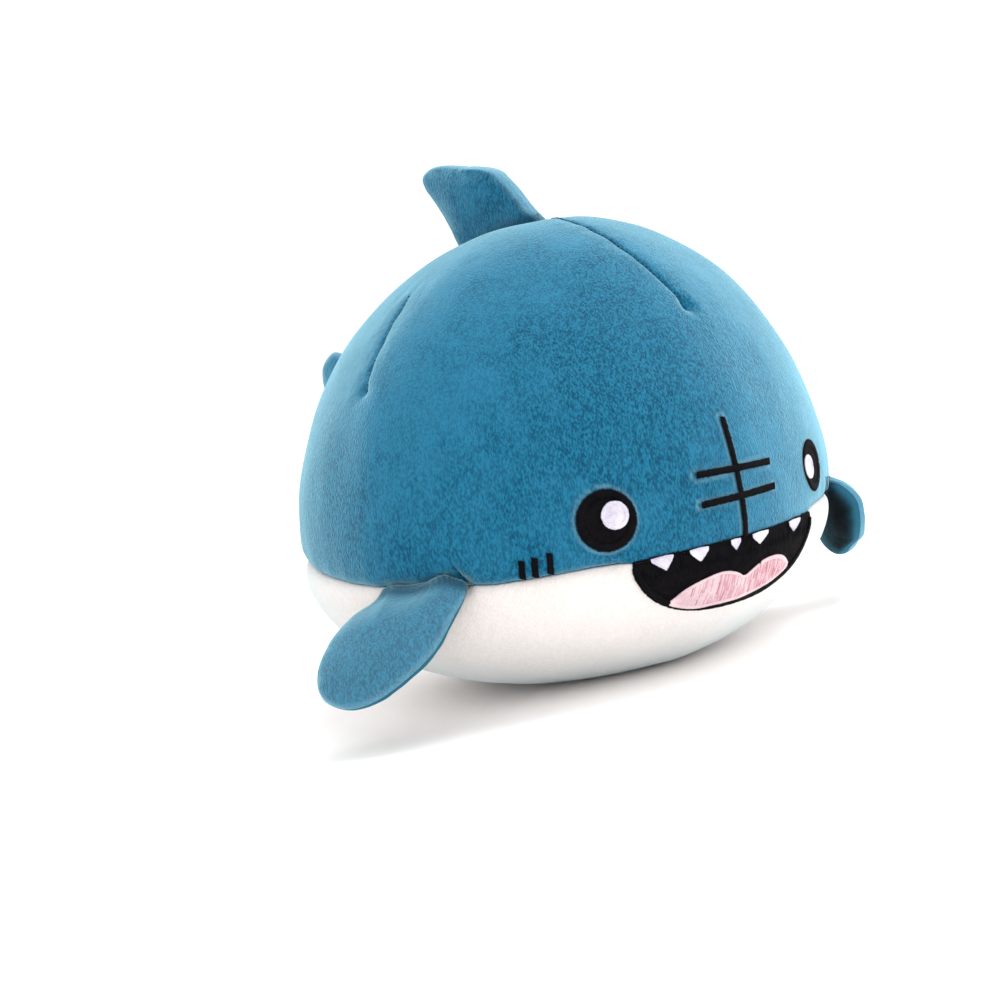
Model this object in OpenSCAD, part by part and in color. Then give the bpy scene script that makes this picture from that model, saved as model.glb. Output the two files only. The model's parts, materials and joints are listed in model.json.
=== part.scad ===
// Round plush shark: a stuffed body of two sewn panels, an embroidered face,
// two flippers, a dorsal fin and a tail that flex where they are sewn on.
// Millimetres. +Z is up, the face looks along -Y, the shark's left is +X, and
// the origin is the middle of the flat patch that it sits on.

/* [Body] */
// Half of the body's width
body_half_w = 77; // [60:1:95]
// Length from the widest line forward to the nose
front_len = 57; // [45:1:75]
// Length from the widest line back to the root of the tail
rear_len = 80; // [65:1:100]
// Height of the back above the widest line
dome_h = 81; // [65:1:95]
// Depth of the belly below the widest line, if nothing pressed it flat
belly_d = 41; // [40:0.5:46]
// Height of the widest line above the surface that the shark sits on
stand_h = 39; // [36:0.5:39.2]
// Roundness of the front seen from above: 2 is an ellipse, less is pointed
front_round = 1.75; // [1.6:0.05:2.4]
// Roundness of the rear seen from above
rear_round = 2.05; // [1.6:0.05:2.4]

/* [Sewing] */
// Thickness of the body's pile fabric
fabric = 1.5; // [1:0.1:2]
// Thickness of the fins' pile fabric
fin_fabric = 1.1; // [0.8:0.1:1.5]
// Height of the body seam at the face, from the widest line
seam_front_z = -5; // [-10:0.5:0]
// How much the body seam rises for each millimetre further back
seam_slope = 0.1; // [0:0.01:0.15]
// Where the body seam starts to rise
seam_turn_y = -30; // [-40:1:-10]
// Width of the edge that is turned inwards at the body seam
allowance = 6; // [4:0.5:8]
// Space between the two turned edges, where the sewing thread lies
seam_gap = 0.7; // [0.6:0.1:1]
// Space left between a lining and the fibre behind it
fill_gap = 0.15; // [0.1:0.05:0.3]

/* [Face] */
// Distance of each eye from the middle
eye_x = 36.8; // [28:0.2:42]
// Height of the eyes above the widest line
eye_z = 6.2; // [4:0.2:14]
// Diameter of an eye over its border
eye_d = 15.2; // [12:0.2:17]
// Width of the satin border round an eye
eye_border = 1.8; // [1.2:0.1:2.2]
// Diameter of the white highlight in an eye
highlight_d = 6.9; // [4:0.1:7]
// Half of the mouth's width along the seam
mouth_half_w = 32; // [26:0.5:34]
// How far the mouth reaches below the seam
mouth_drop = 17; // [12:0.5:18]
// Width of the satin outline of the mouth
mouth_line = 1.7; // [1.2:0.1:2.2]
// Width of the embroidered lines of the scar and gills
line_w = 1.6; // [1:0.1:2.2]
// Thickness of one layer of embroidery
thread_t = 0.8; // [0.5:0.05:1]

/* [Flippers] */
// Where the middle of a flipper's root is, sideways
flipper_x = 72.4; // [71.8:0.2:75]
// Where the middle of a flipper's root is, lengthways
flipper_y = -18; // [-22:0.5:-10]
// Turn of the root seen from above, along the body's side
flipper_turn = -31; // [-36:1:-26]
// How far a flipper droops below level
flipper_droop = 55; // [40:1:58]
// Half of a flipper's thickness
flipper_puff = 6; // [4:0.25:6.5]

/* [Dorsal fin] */
// Where the middle of the fin's root is, lengthways
dorsal_y = 17.5; // [12:0.5:22]
// Height of the root's middle above the widest line
dorsal_z = 80.9; // [80.7:0.1:83]
// Slope of the root, down towards the tail
dorsal_slope = 12.7; // [8:0.1:16]
// Half of the fin's thickness
dorsal_puff = 5; // [3.5:0.25:6]

/* [Tail] */
// Where the middle of the tail's root is, lengthways
tail_y = 78.6; // [78.2:0.2:81]
// Height of the root's middle above the widest line
tail_z = 24.5; // [20:0.5:30]
// Tilt of the root back from upright
tail_tilt = 17; // [12:1:22]
// Half of the tail's thickness
tail_puff = 5; // [3.5:0.25:6]

/* [Hidden] */

plush_blue = [0.25, 0.53, 0.67];
plush_navy = [0.07, 0.12, 0.19];
plush_white = [0.95, 0.93, 0.90];
thread_black = [0.06, 0.06, 0.09];
thread_white = [0.93, 0.93, 0.95];
thread_pink = [0.86, 0.60, 0.65];
thread_blue = [0.16, 0.36, 0.47];
fibre_white = [0.90, 0.90, 0.88];

around = 48;          // steps round the body
rows = 9;             // steps from the seam to a pole
lift = 0.05;          // space between two layers that touch
wide = 260;           // larger than the whole shark
layer_2 = thread_t + 2 * lift;    // where a second layer of embroidery starts
root_gap = 1;         // from a fin's hinge line to its panels
tab_gap = 0.6;        // from a fin's hinge line to its sewn-in root
tab_in = 7;           // how far a root reaches inside from the hinge line
tab_t = 1.2;          // thickness of a root, two layers of seam allowance
root_fade = 12;       // length over which a fin grows from flat to full
fin_edge = 0.5;       // half of a fin's thickness at its seam

// Outlines of the fins, from one end of the root round to the other: [out from
// the root, along the root]. A smooth curve runs through the points.
flipper_line = [
    [root_gap, 12.5], [4.5, 19], [11, 24.8], [19, 27.6], [25.5, 25.6], [28.8, 18.5],
    [27, 10.5], [22, 2.8], [16, -3.4], [9, -7.2], [root_gap, -9.5],
];
dorsal_line = [
    [root_gap, 18], [6, 19.5], [13, 22.3], [22, 25.6], [24.4, 21.8], [23.2, 15.5],
    [19.2, 5.8], [14.5, -4.5], [8, -10], [root_gap, -15.5],
];
tail_line = [
    [root_gap, 7.5], [10, 7.8], [21, 13], [28.5, 19], [34.9, 19.4], [39.2, 13.5], [37, 7],
    [29.3, 0.9], [24.5, -4.4], [25.2, -12.4], [24.2, -21.6], [18, -25.4], [12.2, -20],
    [6.5, -11.5], [root_gap, -7.5],
];
flipper_mid = [14, 9];
dorsal_mid = [12, 9];
tail_mid = [17, -2];

// ---- the body's surface --------------------------------------------------

function signed_pow(v, e) = sign(v) * pow(abs(v), e);

// The body's outline seen from above, t outside the fabric. lon is 0 at the
// nose and 90 at the shark's left.
function plan(lon, t) =
    let (front = cos(lon) > 0)
    let (e = 2 / (front ? front_round : rear_round))
    let (len = (front ? front_len : rear_len) + t)
    [(body_half_w + t) * signed_pow(sin(lon), e), -len * signed_pow(cos(lon), e)];

// A point of the body's surface, t outside the fabric. lat is 0 on the widest
// line, 90 at the top and -90 at the bottom.
function body_point(lon, lat, t) =
    let (p = plan(lon, t) * cos(lat))
    let (c = (lat > 0 ? dome_h : belly_d) + t)
    [p.x, p.y, stand_h + c * sin(lat)];

// Height of the body seam above the widest line, and its latitude
function seam_z(y) = seam_front_z + seam_slope * max(0, y - seam_turn_y);
function seam_lat(lon, rise) =
    let (z = seam_z(plan(lon, 0).y) + rise)
    asin(z / (z > 0 ? dome_h : belly_d));

// Moves a point straight out from, or in to, the body's centre until it is t
// outside the fabric
function onto_body(p, t) =
    let (n = p.y < 0 ? front_round : rear_round)
    let (len = (p.y < 0 ? front_len : rear_len) + t)
    let (h = p.z - stand_h)
    let (c = (h > 0 ? dome_h : belly_d) + t)
    let (flat = pow(abs(p.x) / (body_half_w + t), n) + pow(abs(p.y) / len, n))
    let (k = 1 / sqrt(pow(flat, 2 / n) + pow(h / c, 2)))
    [p.x * k, p.y * k, stand_h + h * k];

// A point of the face at x and at height z above the widest line
function face_point(x, z) =
    let (c = z > 0 ? dome_h : belly_d)
    let (g = sqrt(1 - z * z / (c * c)))
    let (s = pow(abs(x) / (body_half_w * g), front_round))
    [x, -front_len * g * pow(1 - s, 1 / front_round), stand_h + z];

function unit(v) = v / norm(v);

// The direction out of the fabric at a point of the body
function outward(p) =
    let (round_it = cross([0, 0, 1], unit([p.x, p.y, 0])))
    unit(cross(onto_body(p + round_it, 0) - p, onto_body(p + [0, 0, 1], 0) - p));

// ---- shapes made of points -----------------------------------------------

// Triangles between consecutive rings of n points
function ring_faces(count, n) = [
    for (i = [0:count - 2], j = [0:n - 1])
        let (a = i * n + j)
        let (b = i * n + (j + 1) % n)
        each [[a, b, b + n], [a, b + n, a + n]]
];

// A closed solid of rings, with one point at each end
module ringed_solid(first, rings, last) {
    n = len(rings[0]);
    top = len(rings) * n;
    points = [each [for (r = rings) each r], first, last];
    start_cap = [for (j = [0:n - 1]) [top, (j + 1) % n, j]];
    end_row = top - n;
    end_cap = [for (j = [0:n - 1]) [top + 1, end_row + j, end_row + (j + 1) % n]];
    polyhedron(points, concat(start_cap, ring_faces(len(rings), n), end_cap));
}

// A closed solid swept through sections, joined up end to end when closed
module swept_solid(sections, closed = false) {
    n = len(sections[0]);
    all = closed ? concat(sections, [sections[0]]) : sections;
    last = (len(all) - 1) * n;
    caps = closed ? [] : [
        for (j = [1:n - 2]) each [[0, j, j + 1], [last, last + j + 1, last + j]]
    ];
    body = ring_faces(len(all), n);
    wrap = len(sections) * n;
    points = [for (s = sections) each s];
    faces = [for (f = body) closed ? [for (v = f) v % wrap] : f];
    polyhedron(points, concat([for (f = faces) [f[2], f[1], f[0]]], caps));
}

// A smooth curve through points, open at its ends
function spline_point(a, b, c, d, t) =
    ((2 * b) + (c - a) * t + (2 * a - 5 * b + 4 * c - d) * t * t
        + (3 * b - a - 3 * c + d) * t * t * t) / 2;
function spline(points, steps) =
    let (last = len(points) - 1)
    [
        for (i = [0:last - 1], k = [0:steps - 1])
            spline_point(points[max(0, i - 1)], points[i], points[i + 1],
                points[min(last, i + 2)], k / steps),
        points[last],
    ];

// ---- the body ------------------------------------------------------------

function lon_of(j) = 360 * j / around;

// Rings from a pole to the seam at one offset. rise moves the seam edge.
function panel_rings(pole_lat, t, rise) = [
    for (i = [1:rows])
        [for (j = [0:around - 1])
            let (edge = seam_lat(lon_of(j), rise))
            body_point(lon_of(j), pole_lat + (edge - pole_lat) * i / rows, t)]
];

// The edge turned inwards, at a height above the seam
function turned_edge(rise, t) = [
    for (j = [0:around - 1])
        let (lat = seam_lat(lon_of(j), rise))
        let (p = plan(lon_of(j), t) * cos(lat))
        [p.x, p.y, stand_h + seam_z(plan(lon_of(j), 0).y) + rise]
];

function reversed(list) = [for (i = [len(list) - 1:-1:0]) list[i]];
function raised(rings, low) = [
    for (r = rings) [for (p = r) [p.x, p.y, max(low, p.z)]]
];

module top_panel() {
    edge = seam_gap / 2;
    color(plush_blue) ringed_solid(
        [0, 0, stand_h + dome_h],
        concat(
            panel_rings(90, 0, edge),
            [turned_edge(edge, -allowance), turned_edge(edge + fabric, -allowance)],
            reversed(panel_rings(90, -fabric, edge + fabric))
        ),
        [0, 0, stand_h + dome_h - fabric]);
}

module belly_panel() {
    edge = seam_gap / 2;
    // The lining side is pressed flat, and the cut below makes the outside flat
    lining = raised(panel_rings(-90, -fabric, -edge - fabric), fabric);
    color(plush_white) difference() {
        ringed_solid(
            [0, 0, fabric],
            concat(
                lining,
                [turned_edge(-edge - fabric, -allowance), turned_edge(-edge, -allowance)],
                reversed(panel_rings(-90, 0, -edge))
            ),
            [0, 0, stand_h - belly_d]);
        translate([-wide / 2, -wide / 2, -wide])
            cube([wide, wide, wide]);
    }
}

module body_stuffing() {
    inside = -fabric - fill_gap;
    groove = seam_gap / 2 + fabric + fill_gap;
    behind = -allowance - fill_gap;
    color(fibre_white) ringed_solid(
        [0, 0, stand_h + dome_h + inside],
        concat(
            panel_rings(90, inside, groove),
            [turned_edge(groove, behind), turned_edge(-groove, behind)],
            raised(reversed(panel_rings(-90, inside, -groove)), fabric + fill_gap)
        ),
        [0, 0, fabric + fill_gap]);
}

// The thread that joins the two turned edges, all the way round
module body_seam_thread() {
    r = 0.22;
    sides = 6;
    color(thread_blue) swept_solid([
        for (j = [0:around - 1])
            let (mid = turned_edge(0, -allowance / 2)[j])
            let (out = unit([mid.x, mid.y, 0]))
            [for (k = [0:sides - 1])
                mid + r * (cos(k * 360 / sides) * out - sin(k * 360 / sides) * [0, 0, 1])]
    ], closed = true);
}

// ---- embroidery ----------------------------------------------------------

// A satin line on the body through the given points, from height a to height b
module satin_line(path, w, a = lift, b = lift + thread_t, closed = false) {
    n = len(path);
    function near(i) = closed ? path[(i + n) % n] : path[max(0, min(n - 1, i))];
    swept_solid([
        for (i = [0:n - 1])
            let (p = path[i])
            let (along = unit(near(i + 1) - near(i - 1)))
            let (side = unit(cross(outward(p), along)) * w / 2)
            [
                onto_body(p - side, a), onto_body(p, a), onto_body(p + side, a),
                onto_body(p + side, b), onto_body(p, b), onto_body(p - side, b),
            ]
    ], closed);
}

// Points of the face from one place to another, [x, z] each
function face_run(from, to, steps) = [
    for (i = [0:steps])
        let (q = from + (to - from) * i / steps)
        face_point(q.x, q.y)
];

// Points of the back from one place to another, laid onto the surface
function back_run(from, to, steps) = [
    for (i = [0:steps]) onto_body(from + (to - from) * i / steps, 0)
];

// A round patch on the face, or a ring when inner is over 0. The middle is
// [x, z] and sizes are measured along the fabric.
module round_patch(middle, outer, inner, a, b) {
    centre = face_point(middle.x, middle.y);
    n = outward(centre);
    side = unit(cross([0, 0, 1], n));
    up = cross(n, side);
    steps = 28;
    function at(r, k) = centre + r * (cos(360 * k / steps) * side + sin(360 * k / steps) * up);
    function ring(r, t) = [for (k = [0:steps - 1]) onto_body(at(r, k), t)];
    if (inner > 0)
        swept_solid([
            for (k = [0:steps - 1]) [
                onto_body(at(inner, k), a), onto_body(at(inner, k), b),
                onto_body(at(outer, k), b), onto_body(at(outer, k), a),
            ]
        ], closed = true);
    else
        ringed_solid(
            onto_body(centre, b),
            concat(
                [for (i = [1:3]) ring(outer * i / 3, b)],
                [for (i = [3:-1:1]) ring(outer * i / 3, a)]
            ),
            onto_body(centre, a));
}

// A patch of the face between two curves, [x, low z, high z] for each column
module column_patch(columns, a, b) {
    levels = 4;
    swept_solid([
        for (c = columns) concat(
            [for (i = [0:levels])
                onto_body(face_point(c[0], c[1] + (c[2] - c[1]) * i / levels), a)],
            [for (i = [levels:-1:0])
                onto_body(face_point(c[0], c[1] + (c[2] - c[1]) * i / levels), b)]
        )
    ]);
}

// The mouth: straight along the seam, and a deep bow below it
mouth_top = seam_front_z - 0.2;
function mouth_low(x, inset) =
    let (s = min(1, abs(x) / (mouth_half_w - inset)))
    mouth_top - inset - (mouth_drop - 2 * inset) * pow(1 - pow(s, 2.6), 0.62);
mouth_steps = 28;
mouth_margin = mouth_line + 0.9; // clear of the outline at its sharp corners too
function mouth_x(i, inset) = (mouth_half_w - inset) * sin(-90 + 180 * i / mouth_steps);

module mouth_fill() {
    inset = mouth_margin;
    color(thread_black) column_patch([
        for (i = [1:mouth_steps - 1])
            let (x = mouth_x(i, inset))
            [x, min(mouth_low(x, inset), mouth_top - inset - 0.3), mouth_top - inset]
    ], lift, lift + thread_t);
}

module mouth_outline() {
    half = mouth_line / 2;
    bow = [for (i = [0:mouth_steps])
        let (x = mouth_x(i, half))
        face_point(x, mouth_low(x, half))];
    lid = face_run([mouth_half_w - half, mouth_top - half], [-mouth_half_w + half, mouth_top - half],
        mouth_steps);
    color(thread_black)
        satin_line(concat(bow, [for (i = [1:mouth_steps - 1]) lid[i]]), mouth_line, closed = true);
}

// Five small teeth that hang from the mouth's top edge: [middle, width, drop]
tooth_list = [[-25, 6.2, 3.4], [-14.5, 6, 3], [-3.7, 3.4, 2.2], [5.2, 6.6, 2], [21.8, 6.6, 2]];

module teeth() {
    color(thread_white)
        for (tooth = tooth_list) {
            half = tooth[1] / 2;
            base = mouth_top - 0.2;
            column_patch([
                for (s = [-0.95, -0.5, 0, 0.5, 0.95])
                    [tooth[0] + s * half, base - 0.3 - tooth[2] * (1 - abs(s)), base]
            ], layer_2, layer_2 + 0.6);
        }
}

// The tongue: two rounded humps over a shallow bow, [x, low z, high z]
tongue_list = [
    [-20.9, -18.2, -17.4], [-18.5, -19.2, -15.8], [-16, -19.8, -14.8], [-10.7, -20.5, -13.2],
    [-5.5, -20.7, -12.8], [-0.1, -20.7, -14.9], [4.6, -20.4, -13.4], [9.5, -20, -12.7],
    [14, -19.3, -13], [18, -18.2, -14.8], [20.4, -17.2, -16.4],
];

module tongue() {
    color(thread_pink) column_patch(tongue_list, layer_2, layer_2 + 0.6);
}

module eye_fill(side) {
    color(thread_black)
        round_patch([side * eye_x, eye_z], eye_d / 2 - eye_border - lift, 0, lift, lift + thread_t);
}

module eye_border_ring(side) {
    color(thread_black)
        round_patch([side * eye_x, eye_z], eye_d / 2, eye_d / 2 - eye_border, lift, lift + thread_t);
}

module eye_highlight(side) {
    color(thread_white)
        round_patch([side * (eye_x - 1.6), eye_z + 0.6], highlight_d / 2, 0, layer_2, layer_2 + 0.6);
}

// Three short upright lines at the seam, behind each corner of the mouth
gill_list = [[49.9, 1], [52.9, 0.5], [55.4, 0.3]];

module gill_stitches(side) {
    color(thread_black)
        for (gill = gill_list)
            satin_line(face_run([side * gill[0], gill[1]],
                [side * (gill[0] + 0.4), seam_front_z + 1], 4), line_w - 0.2);
}

// One upright line down to the mouth and two bars across it
scar_top = 24.8;
scar_bars = [[12, 12.8], [5, 12.8]];

module scar_stitches() {
    half = line_w / 2;
    color(thread_black) {
        satin_line(face_run([0, seam_front_z + 0.8], [0, scar_top], 12), line_w);
        for (bar = scar_bars, side = [-1, 1])
            satin_line(face_run([side * (half + lift), bar[0]], [side * bar[1], bar[0]], 6), line_w);
    }
}

// ---- darts and the closing seam ------------------------------------------

dart_w = 0.7;
dart_t = 0.5;

// The front dart drifts to the left side as it comes down the forehead
module front_dart_stitches() {
    top = [-1.5, -3, stand_h + 80];
    end = [6.2, -42, stand_h + 53];
    steps = 14;
    color(thread_blue)
        satin_line([
            for (i = [0:steps])
                let (t = i / steps)
                let (drift = [(end.x - top.x) * pow(t, 3), (end.y - top.y) * t, (end.z - top.z) * t])
                onto_body(top + drift, 0)
        ], dart_w, lift, lift + dart_t);
}

module side_dart_stitches(side) {
    color(thread_blue)
        satin_line(back_run([side * 40.5, 7.6, stand_h + 68.5], [side * 63.7, 4.9, stand_h + 45.3], 10),
            dart_w, lift, lift + dart_t);
}

// Where the body was closed by hand after stuffing, under the tail
closing_half = 22;
closing_count = 9;

module closing_stitches() {
    color(thread_blue)
        for (i = [0:closing_count - 1]) {
            x = closing_half * (2 * i / (closing_count - 1) - 1);
            z = stand_h + seam_z(rear_len);
            satin_line(back_run([x, rear_len, z - 1.2], [x + 1, rear_len, z + 1.2], 2),
                dart_w, lift, lift + dart_t);
        }
}

// ---- fins ----------------------------------------------------------------

// How high a fin's panel stands at a point of it, r from 0 in the middle to 1
// at the seam
function puff_at(p, r, peak) = peak * sqrt(max(0, 1 - r * r)) * sin(90 * min(1, p.x / root_fade));

function fin_ring(line, mid, r, peak, base) = [
    for (q = line)
        let (p = mid + (q - mid) * r)
        [p.x, p.y, base + puff_at(p, r, peak)]
];

fin_rings = [1, 0.97, 0.88, 0.74, 0.56, 0.3];
spline_steps = 3;

// One of a fin's two panels, on the side that +Z is
module fin_panel(line, mid, peak) {
    edge = spline(line, spline_steps);
    shrink = 1 - fin_fabric / 10;
    lining_peak = peak - fin_fabric;
    outside = [for (r = fin_rings) fin_ring(edge, mid, r, peak, fin_edge)];
    lining = [
        for (r = reversed(fin_rings))
            [for (p = fin_ring(edge, mid, r, lining_peak, fin_edge / 2))
                [mid.x + (p.x - mid.x) * shrink, mid.y + (p.y - mid.y) * shrink, p.z]]
    ];
    rim = [for (p = edge) [p.x, p.y, lift]];
    inner_rim = [for (p = lining[len(lining) - 1]) [p.x, p.y, lift]];
    ringed_solid(
        [mid.x, mid.y, fin_edge / 2 + puff_at(mid, 0, lining_peak)],
        concat(lining, [inner_rim, rim], outside),
        [mid.x, mid.y, fin_edge + puff_at(mid, 0, peak)]);
}

// The fibre between a fin's panels
module fin_stuffing(line, mid, peak) {
    edge = spline(line, spline_steps);
    shrink = 1 - fin_fabric / 10 - 0.03;
    inside_peak = peak - fin_fabric - fill_gap;
    function half(side) = [
        for (r = fin_rings)
            [for (p = fin_ring(edge, mid, r, inside_peak, 0.05))
                [mid.x + (p.x - mid.x) * shrink, mid.y + (p.y - mid.y) * shrink, side * p.z]]
    ];
    tip = 0.05 + puff_at(mid, 0, inside_peak);
    ringed_solid([mid.x, mid.y, -tip], concat(reversed(half(-1)), half(1)), [mid.x, mid.y, tip]);
}

// The seam allowance of a fin, caught in the body's seam
module fin_root(from, to) {
    translate([-tab_in, from, -tab_t / 2])
        cube([tab_in - tab_gap, to - from, tab_t]);
}

// Places for a fin drawn with X out from its root, Y along the root and Z
// through its thickness
module at_flipper(side, droop) {
    mirror([side > 0 ? 0 : 1, 0, 0])
        translate([flipper_x, flipper_y, stand_h + seam_z(flipper_y)])
            rotate([0, 0, flipper_turn])
                rotate([0, droop, 0])
                    children();
}

module at_dorsal() {
    translate([0, dorsal_y, stand_h + dorsal_z])
        rotate([-dorsal_slope, 0, 0])
            rotate([0, -90, 0])
                children();
}

module at_tail() {
    translate([0, tail_y, stand_h + tail_z])
        rotate([tail_tilt, 0, 0])
            rotate([90, 0, 90])
                children();
}

module flipper_upper_panel(side) {
    color(plush_blue) at_flipper(side, flipper_droop)
        fin_panel(flipper_line, flipper_mid, flipper_puff);
}

module flipper_lower_panel(side) {
    color(plush_navy) at_flipper(side, flipper_droop) mirror([0, 0, 1])
        fin_panel(flipper_line, flipper_mid, flipper_puff);
}

module flipper_stuffing(side) {
    color(fibre_white) at_flipper(side, flipper_droop)
        fin_stuffing(flipper_line, flipper_mid, flipper_puff);
}

module flipper_root(side) {
    color(plush_blue) at_flipper(side, 0) fin_root(-9, 11);
}

// Drawn upright, +Z is the shark's right, so the left panel is the mirrored one
module dorsal_panel(side) {
    color(plush_blue) at_dorsal() mirror([0, 0, side > 0 ? 1 : 0])
        fin_panel(dorsal_line, dorsal_mid, dorsal_puff);
}

module dorsal_fin_stuffing() {
    color(fibre_white) at_dorsal() fin_stuffing(dorsal_line, dorsal_mid, dorsal_puff);
}

module dorsal_fin_root() {
    color(plush_blue) at_dorsal() fin_root(-14, 16);
}

// Drawn upright, +Z is the shark's left
module tail_panel(side) {
    color(plush_blue) at_tail() mirror([0, 0, side > 0 ? 0 : 1])
        fin_panel(tail_line, tail_mid, tail_puff);
}

module tail_stuffing() {
    color(fibre_white) at_tail() fin_stuffing(tail_line, tail_mid, tail_puff);
}

module tail_root() {
    color(plush_blue) at_tail() fin_root(-6.5, 6.5);
}

right = -1;
left = 1;

top_panel();
belly_panel();
body_stuffing();
body_seam_thread();
closing_stitches();
front_dart_stitches();
side_dart_stitches(right);  // right_dart_stitches
side_dart_stitches(left);  // left_dart_stitches
mouth_fill();
mouth_outline();
teeth();
tongue();
eye_fill(right);  // right_eye_fill
eye_border_ring(right);  // right_eye_border
eye_highlight(right);  // right_eye_highlight
eye_fill(left);  // left_eye_fill
eye_border_ring(left);  // left_eye_border
eye_highlight(left);  // left_eye_highlight
gill_stitches(right);  // right_gill_stitches
gill_stitches(left);  // left_gill_stitches
scar_stitches();
flipper_root(right);  // right_flipper_root
flipper_root(left);  // left_flipper_root
dorsal_fin_root();
tail_root();
flipper_upper_panel(right);  // right_flipper_upper_panel
flipper_lower_panel(right);  // right_flipper_lower_panel
flipper_stuffing(right);  // right_flipper_stuffing
flipper_upper_panel(left);  // left_flipper_upper_panel
flipper_lower_panel(left);  // left_flipper_lower_panel
flipper_stuffing(left);  // left_flipper_stuffing
dorsal_panel(right);  // dorsal_fin_right_panel
dorsal_panel(left);  // dorsal_fin_left_panel
dorsal_fin_stuffing();
tail_panel(right);  // tail_right_panel
tail_panel(left);  // tail_left_panel
tail_stuffing();
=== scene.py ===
import json
import math
import random

import bmesh
import bpy
import numpy as np
from mathutils import Matrix, Vector, noise
from mathutils.bvhtree import BVHTree


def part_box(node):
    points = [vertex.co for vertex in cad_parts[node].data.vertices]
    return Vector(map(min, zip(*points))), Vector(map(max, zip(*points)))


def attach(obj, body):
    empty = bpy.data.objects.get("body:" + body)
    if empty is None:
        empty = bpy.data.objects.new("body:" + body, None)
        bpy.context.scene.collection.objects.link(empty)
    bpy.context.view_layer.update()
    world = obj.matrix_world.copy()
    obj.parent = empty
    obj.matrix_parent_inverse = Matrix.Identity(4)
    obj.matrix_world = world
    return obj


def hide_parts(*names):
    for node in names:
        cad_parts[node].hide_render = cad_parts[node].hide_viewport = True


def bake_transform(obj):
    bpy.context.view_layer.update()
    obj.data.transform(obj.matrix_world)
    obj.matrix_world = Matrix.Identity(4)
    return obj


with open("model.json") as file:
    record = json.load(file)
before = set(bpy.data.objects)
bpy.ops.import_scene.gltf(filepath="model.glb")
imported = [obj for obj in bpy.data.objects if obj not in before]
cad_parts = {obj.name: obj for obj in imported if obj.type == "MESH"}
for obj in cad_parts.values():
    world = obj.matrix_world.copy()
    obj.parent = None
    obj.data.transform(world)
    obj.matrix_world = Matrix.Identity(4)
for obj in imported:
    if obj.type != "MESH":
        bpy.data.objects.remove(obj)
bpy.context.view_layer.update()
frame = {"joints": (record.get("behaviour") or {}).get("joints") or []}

MM = 0.001

# ---------------------------------------------------------------------------
# Camera, floor and light. The shark sits on a plain pale floor in soft studio
# light, seen from its right front, a little from above and with a tilted head.
# ---------------------------------------------------------------------------

WIDEST_Z = 39 * MM           # height of the body's widest line
VIEW_AZIMUTH = math.radians(-40.67)
VIEW_RISE = math.radians(6.66)
VIEW_TILT = math.radians(-9.37)
VIEW_DISTANCE = 0.6
LENS = 80.7                  # for a frame 36 wide
FRAME_SHIFT = (-0.0944, 0.0194)
WHITE = (1, 1, 1, 1)
FLOOR_HALF = 30.0


def placed(name, data):
    """A new object in the scene, with its place in its data."""
    made = bpy.data.objects.new(name, data)
    bpy.context.scene.collection.objects.link(made)
    return made


def new_material(name, values):
    """A material with the given values on its shader's own sockets."""
    material = bpy.data.materials.new(name)
    material.use_nodes = True
    shader = material.node_tree.nodes["Principled BSDF"]
    for socket, value in values.items():
        shader.inputs[socket].default_value = value
    return material, material.node_tree, shader


def add_camera():
    data = bpy.data.cameras.new("camera")
    side = Vector((math.cos(VIEW_AZIMUTH), math.sin(VIEW_AZIMUTH), 0))
    back = Vector((math.sin(VIEW_AZIMUTH) * math.cos(VIEW_RISE),
                   -math.cos(VIEW_AZIMUTH) * math.cos(VIEW_RISE), math.sin(VIEW_RISE)))
    up = back.cross(side)
    tilt_side = math.cos(VIEW_TILT) * side + math.sin(VIEW_TILT) * up
    tilt_up = -math.sin(VIEW_TILT) * side + math.cos(VIEW_TILT) * up
    place = Matrix((tilt_side, tilt_up, back)).transposed().to_4x4()
    place.translation = Vector((0, 0, WIDEST_Z)) + back * VIEW_DISTANCE
    camera = placed("camera", data)
    camera.matrix_world = place
    data.sensor_width = 36
    data.lens = LENS
    data.shift_x, data.shift_y = FRAME_SHIFT
    data.clip_start = 0.01
    bpy.context.scene.camera = camera


def add_lamp(name, place, power):
    data = bpy.data.lights.new(name, "AREA")
    data.shape = "DISK"
    data.size = 0.8
    data.energy = power
    lamp = placed(name, data)
    lamp.location = place
    toy_middle = Vector((0, 0, 60 * MM))
    lamp.rotation_euler = (toy_middle - Vector(place)).to_track_quat("-Z", "Y").to_euler()


def add_floor():
    mesh = bpy.data.meshes.new("floor")
    half = FLOOR_HALF
    mesh.from_pydata([(-half, -half, 0), (half, -half, 0), (half, half, 0), (-half, half, 0)],
                     [], [(0, 1, 2, 3)])
    paint = {"Base Color": (0.98, 0.98, 0.98, 1), "Roughness": 1.0, "Specular IOR Level": 0}
    mesh.materials.append(new_material("floor_paint", paint)[0])
    placed("floor", mesh)


def add_sky():
    world = bpy.data.worlds.new("studio")
    world.use_nodes = True
    background = world.node_tree.nodes["Background"]
    background.inputs["Color"].default_value = WHITE
    background.inputs["Strength"].default_value = 1.15
    bpy.context.scene.world = world


add_camera()
add_floor()
add_sky()
add_lamp("overhead", (0.3, -0.05, 0.95), 6.2)
add_lamp("right_side", (0.9, -0.45, 0.45), 3.6)
bpy.context.scene.view_settings.view_transform = "Standard"

# ---------------------------------------------------------------------------
# Body panels. Two pieces of short-pile plush, blue above and off-white below,
# sewn edge to edge and stuffed until they stand out as one round body. Darts
# give the blue one its shape: one down the forehead and one on each side.
# ---------------------------------------------------------------------------

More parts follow.
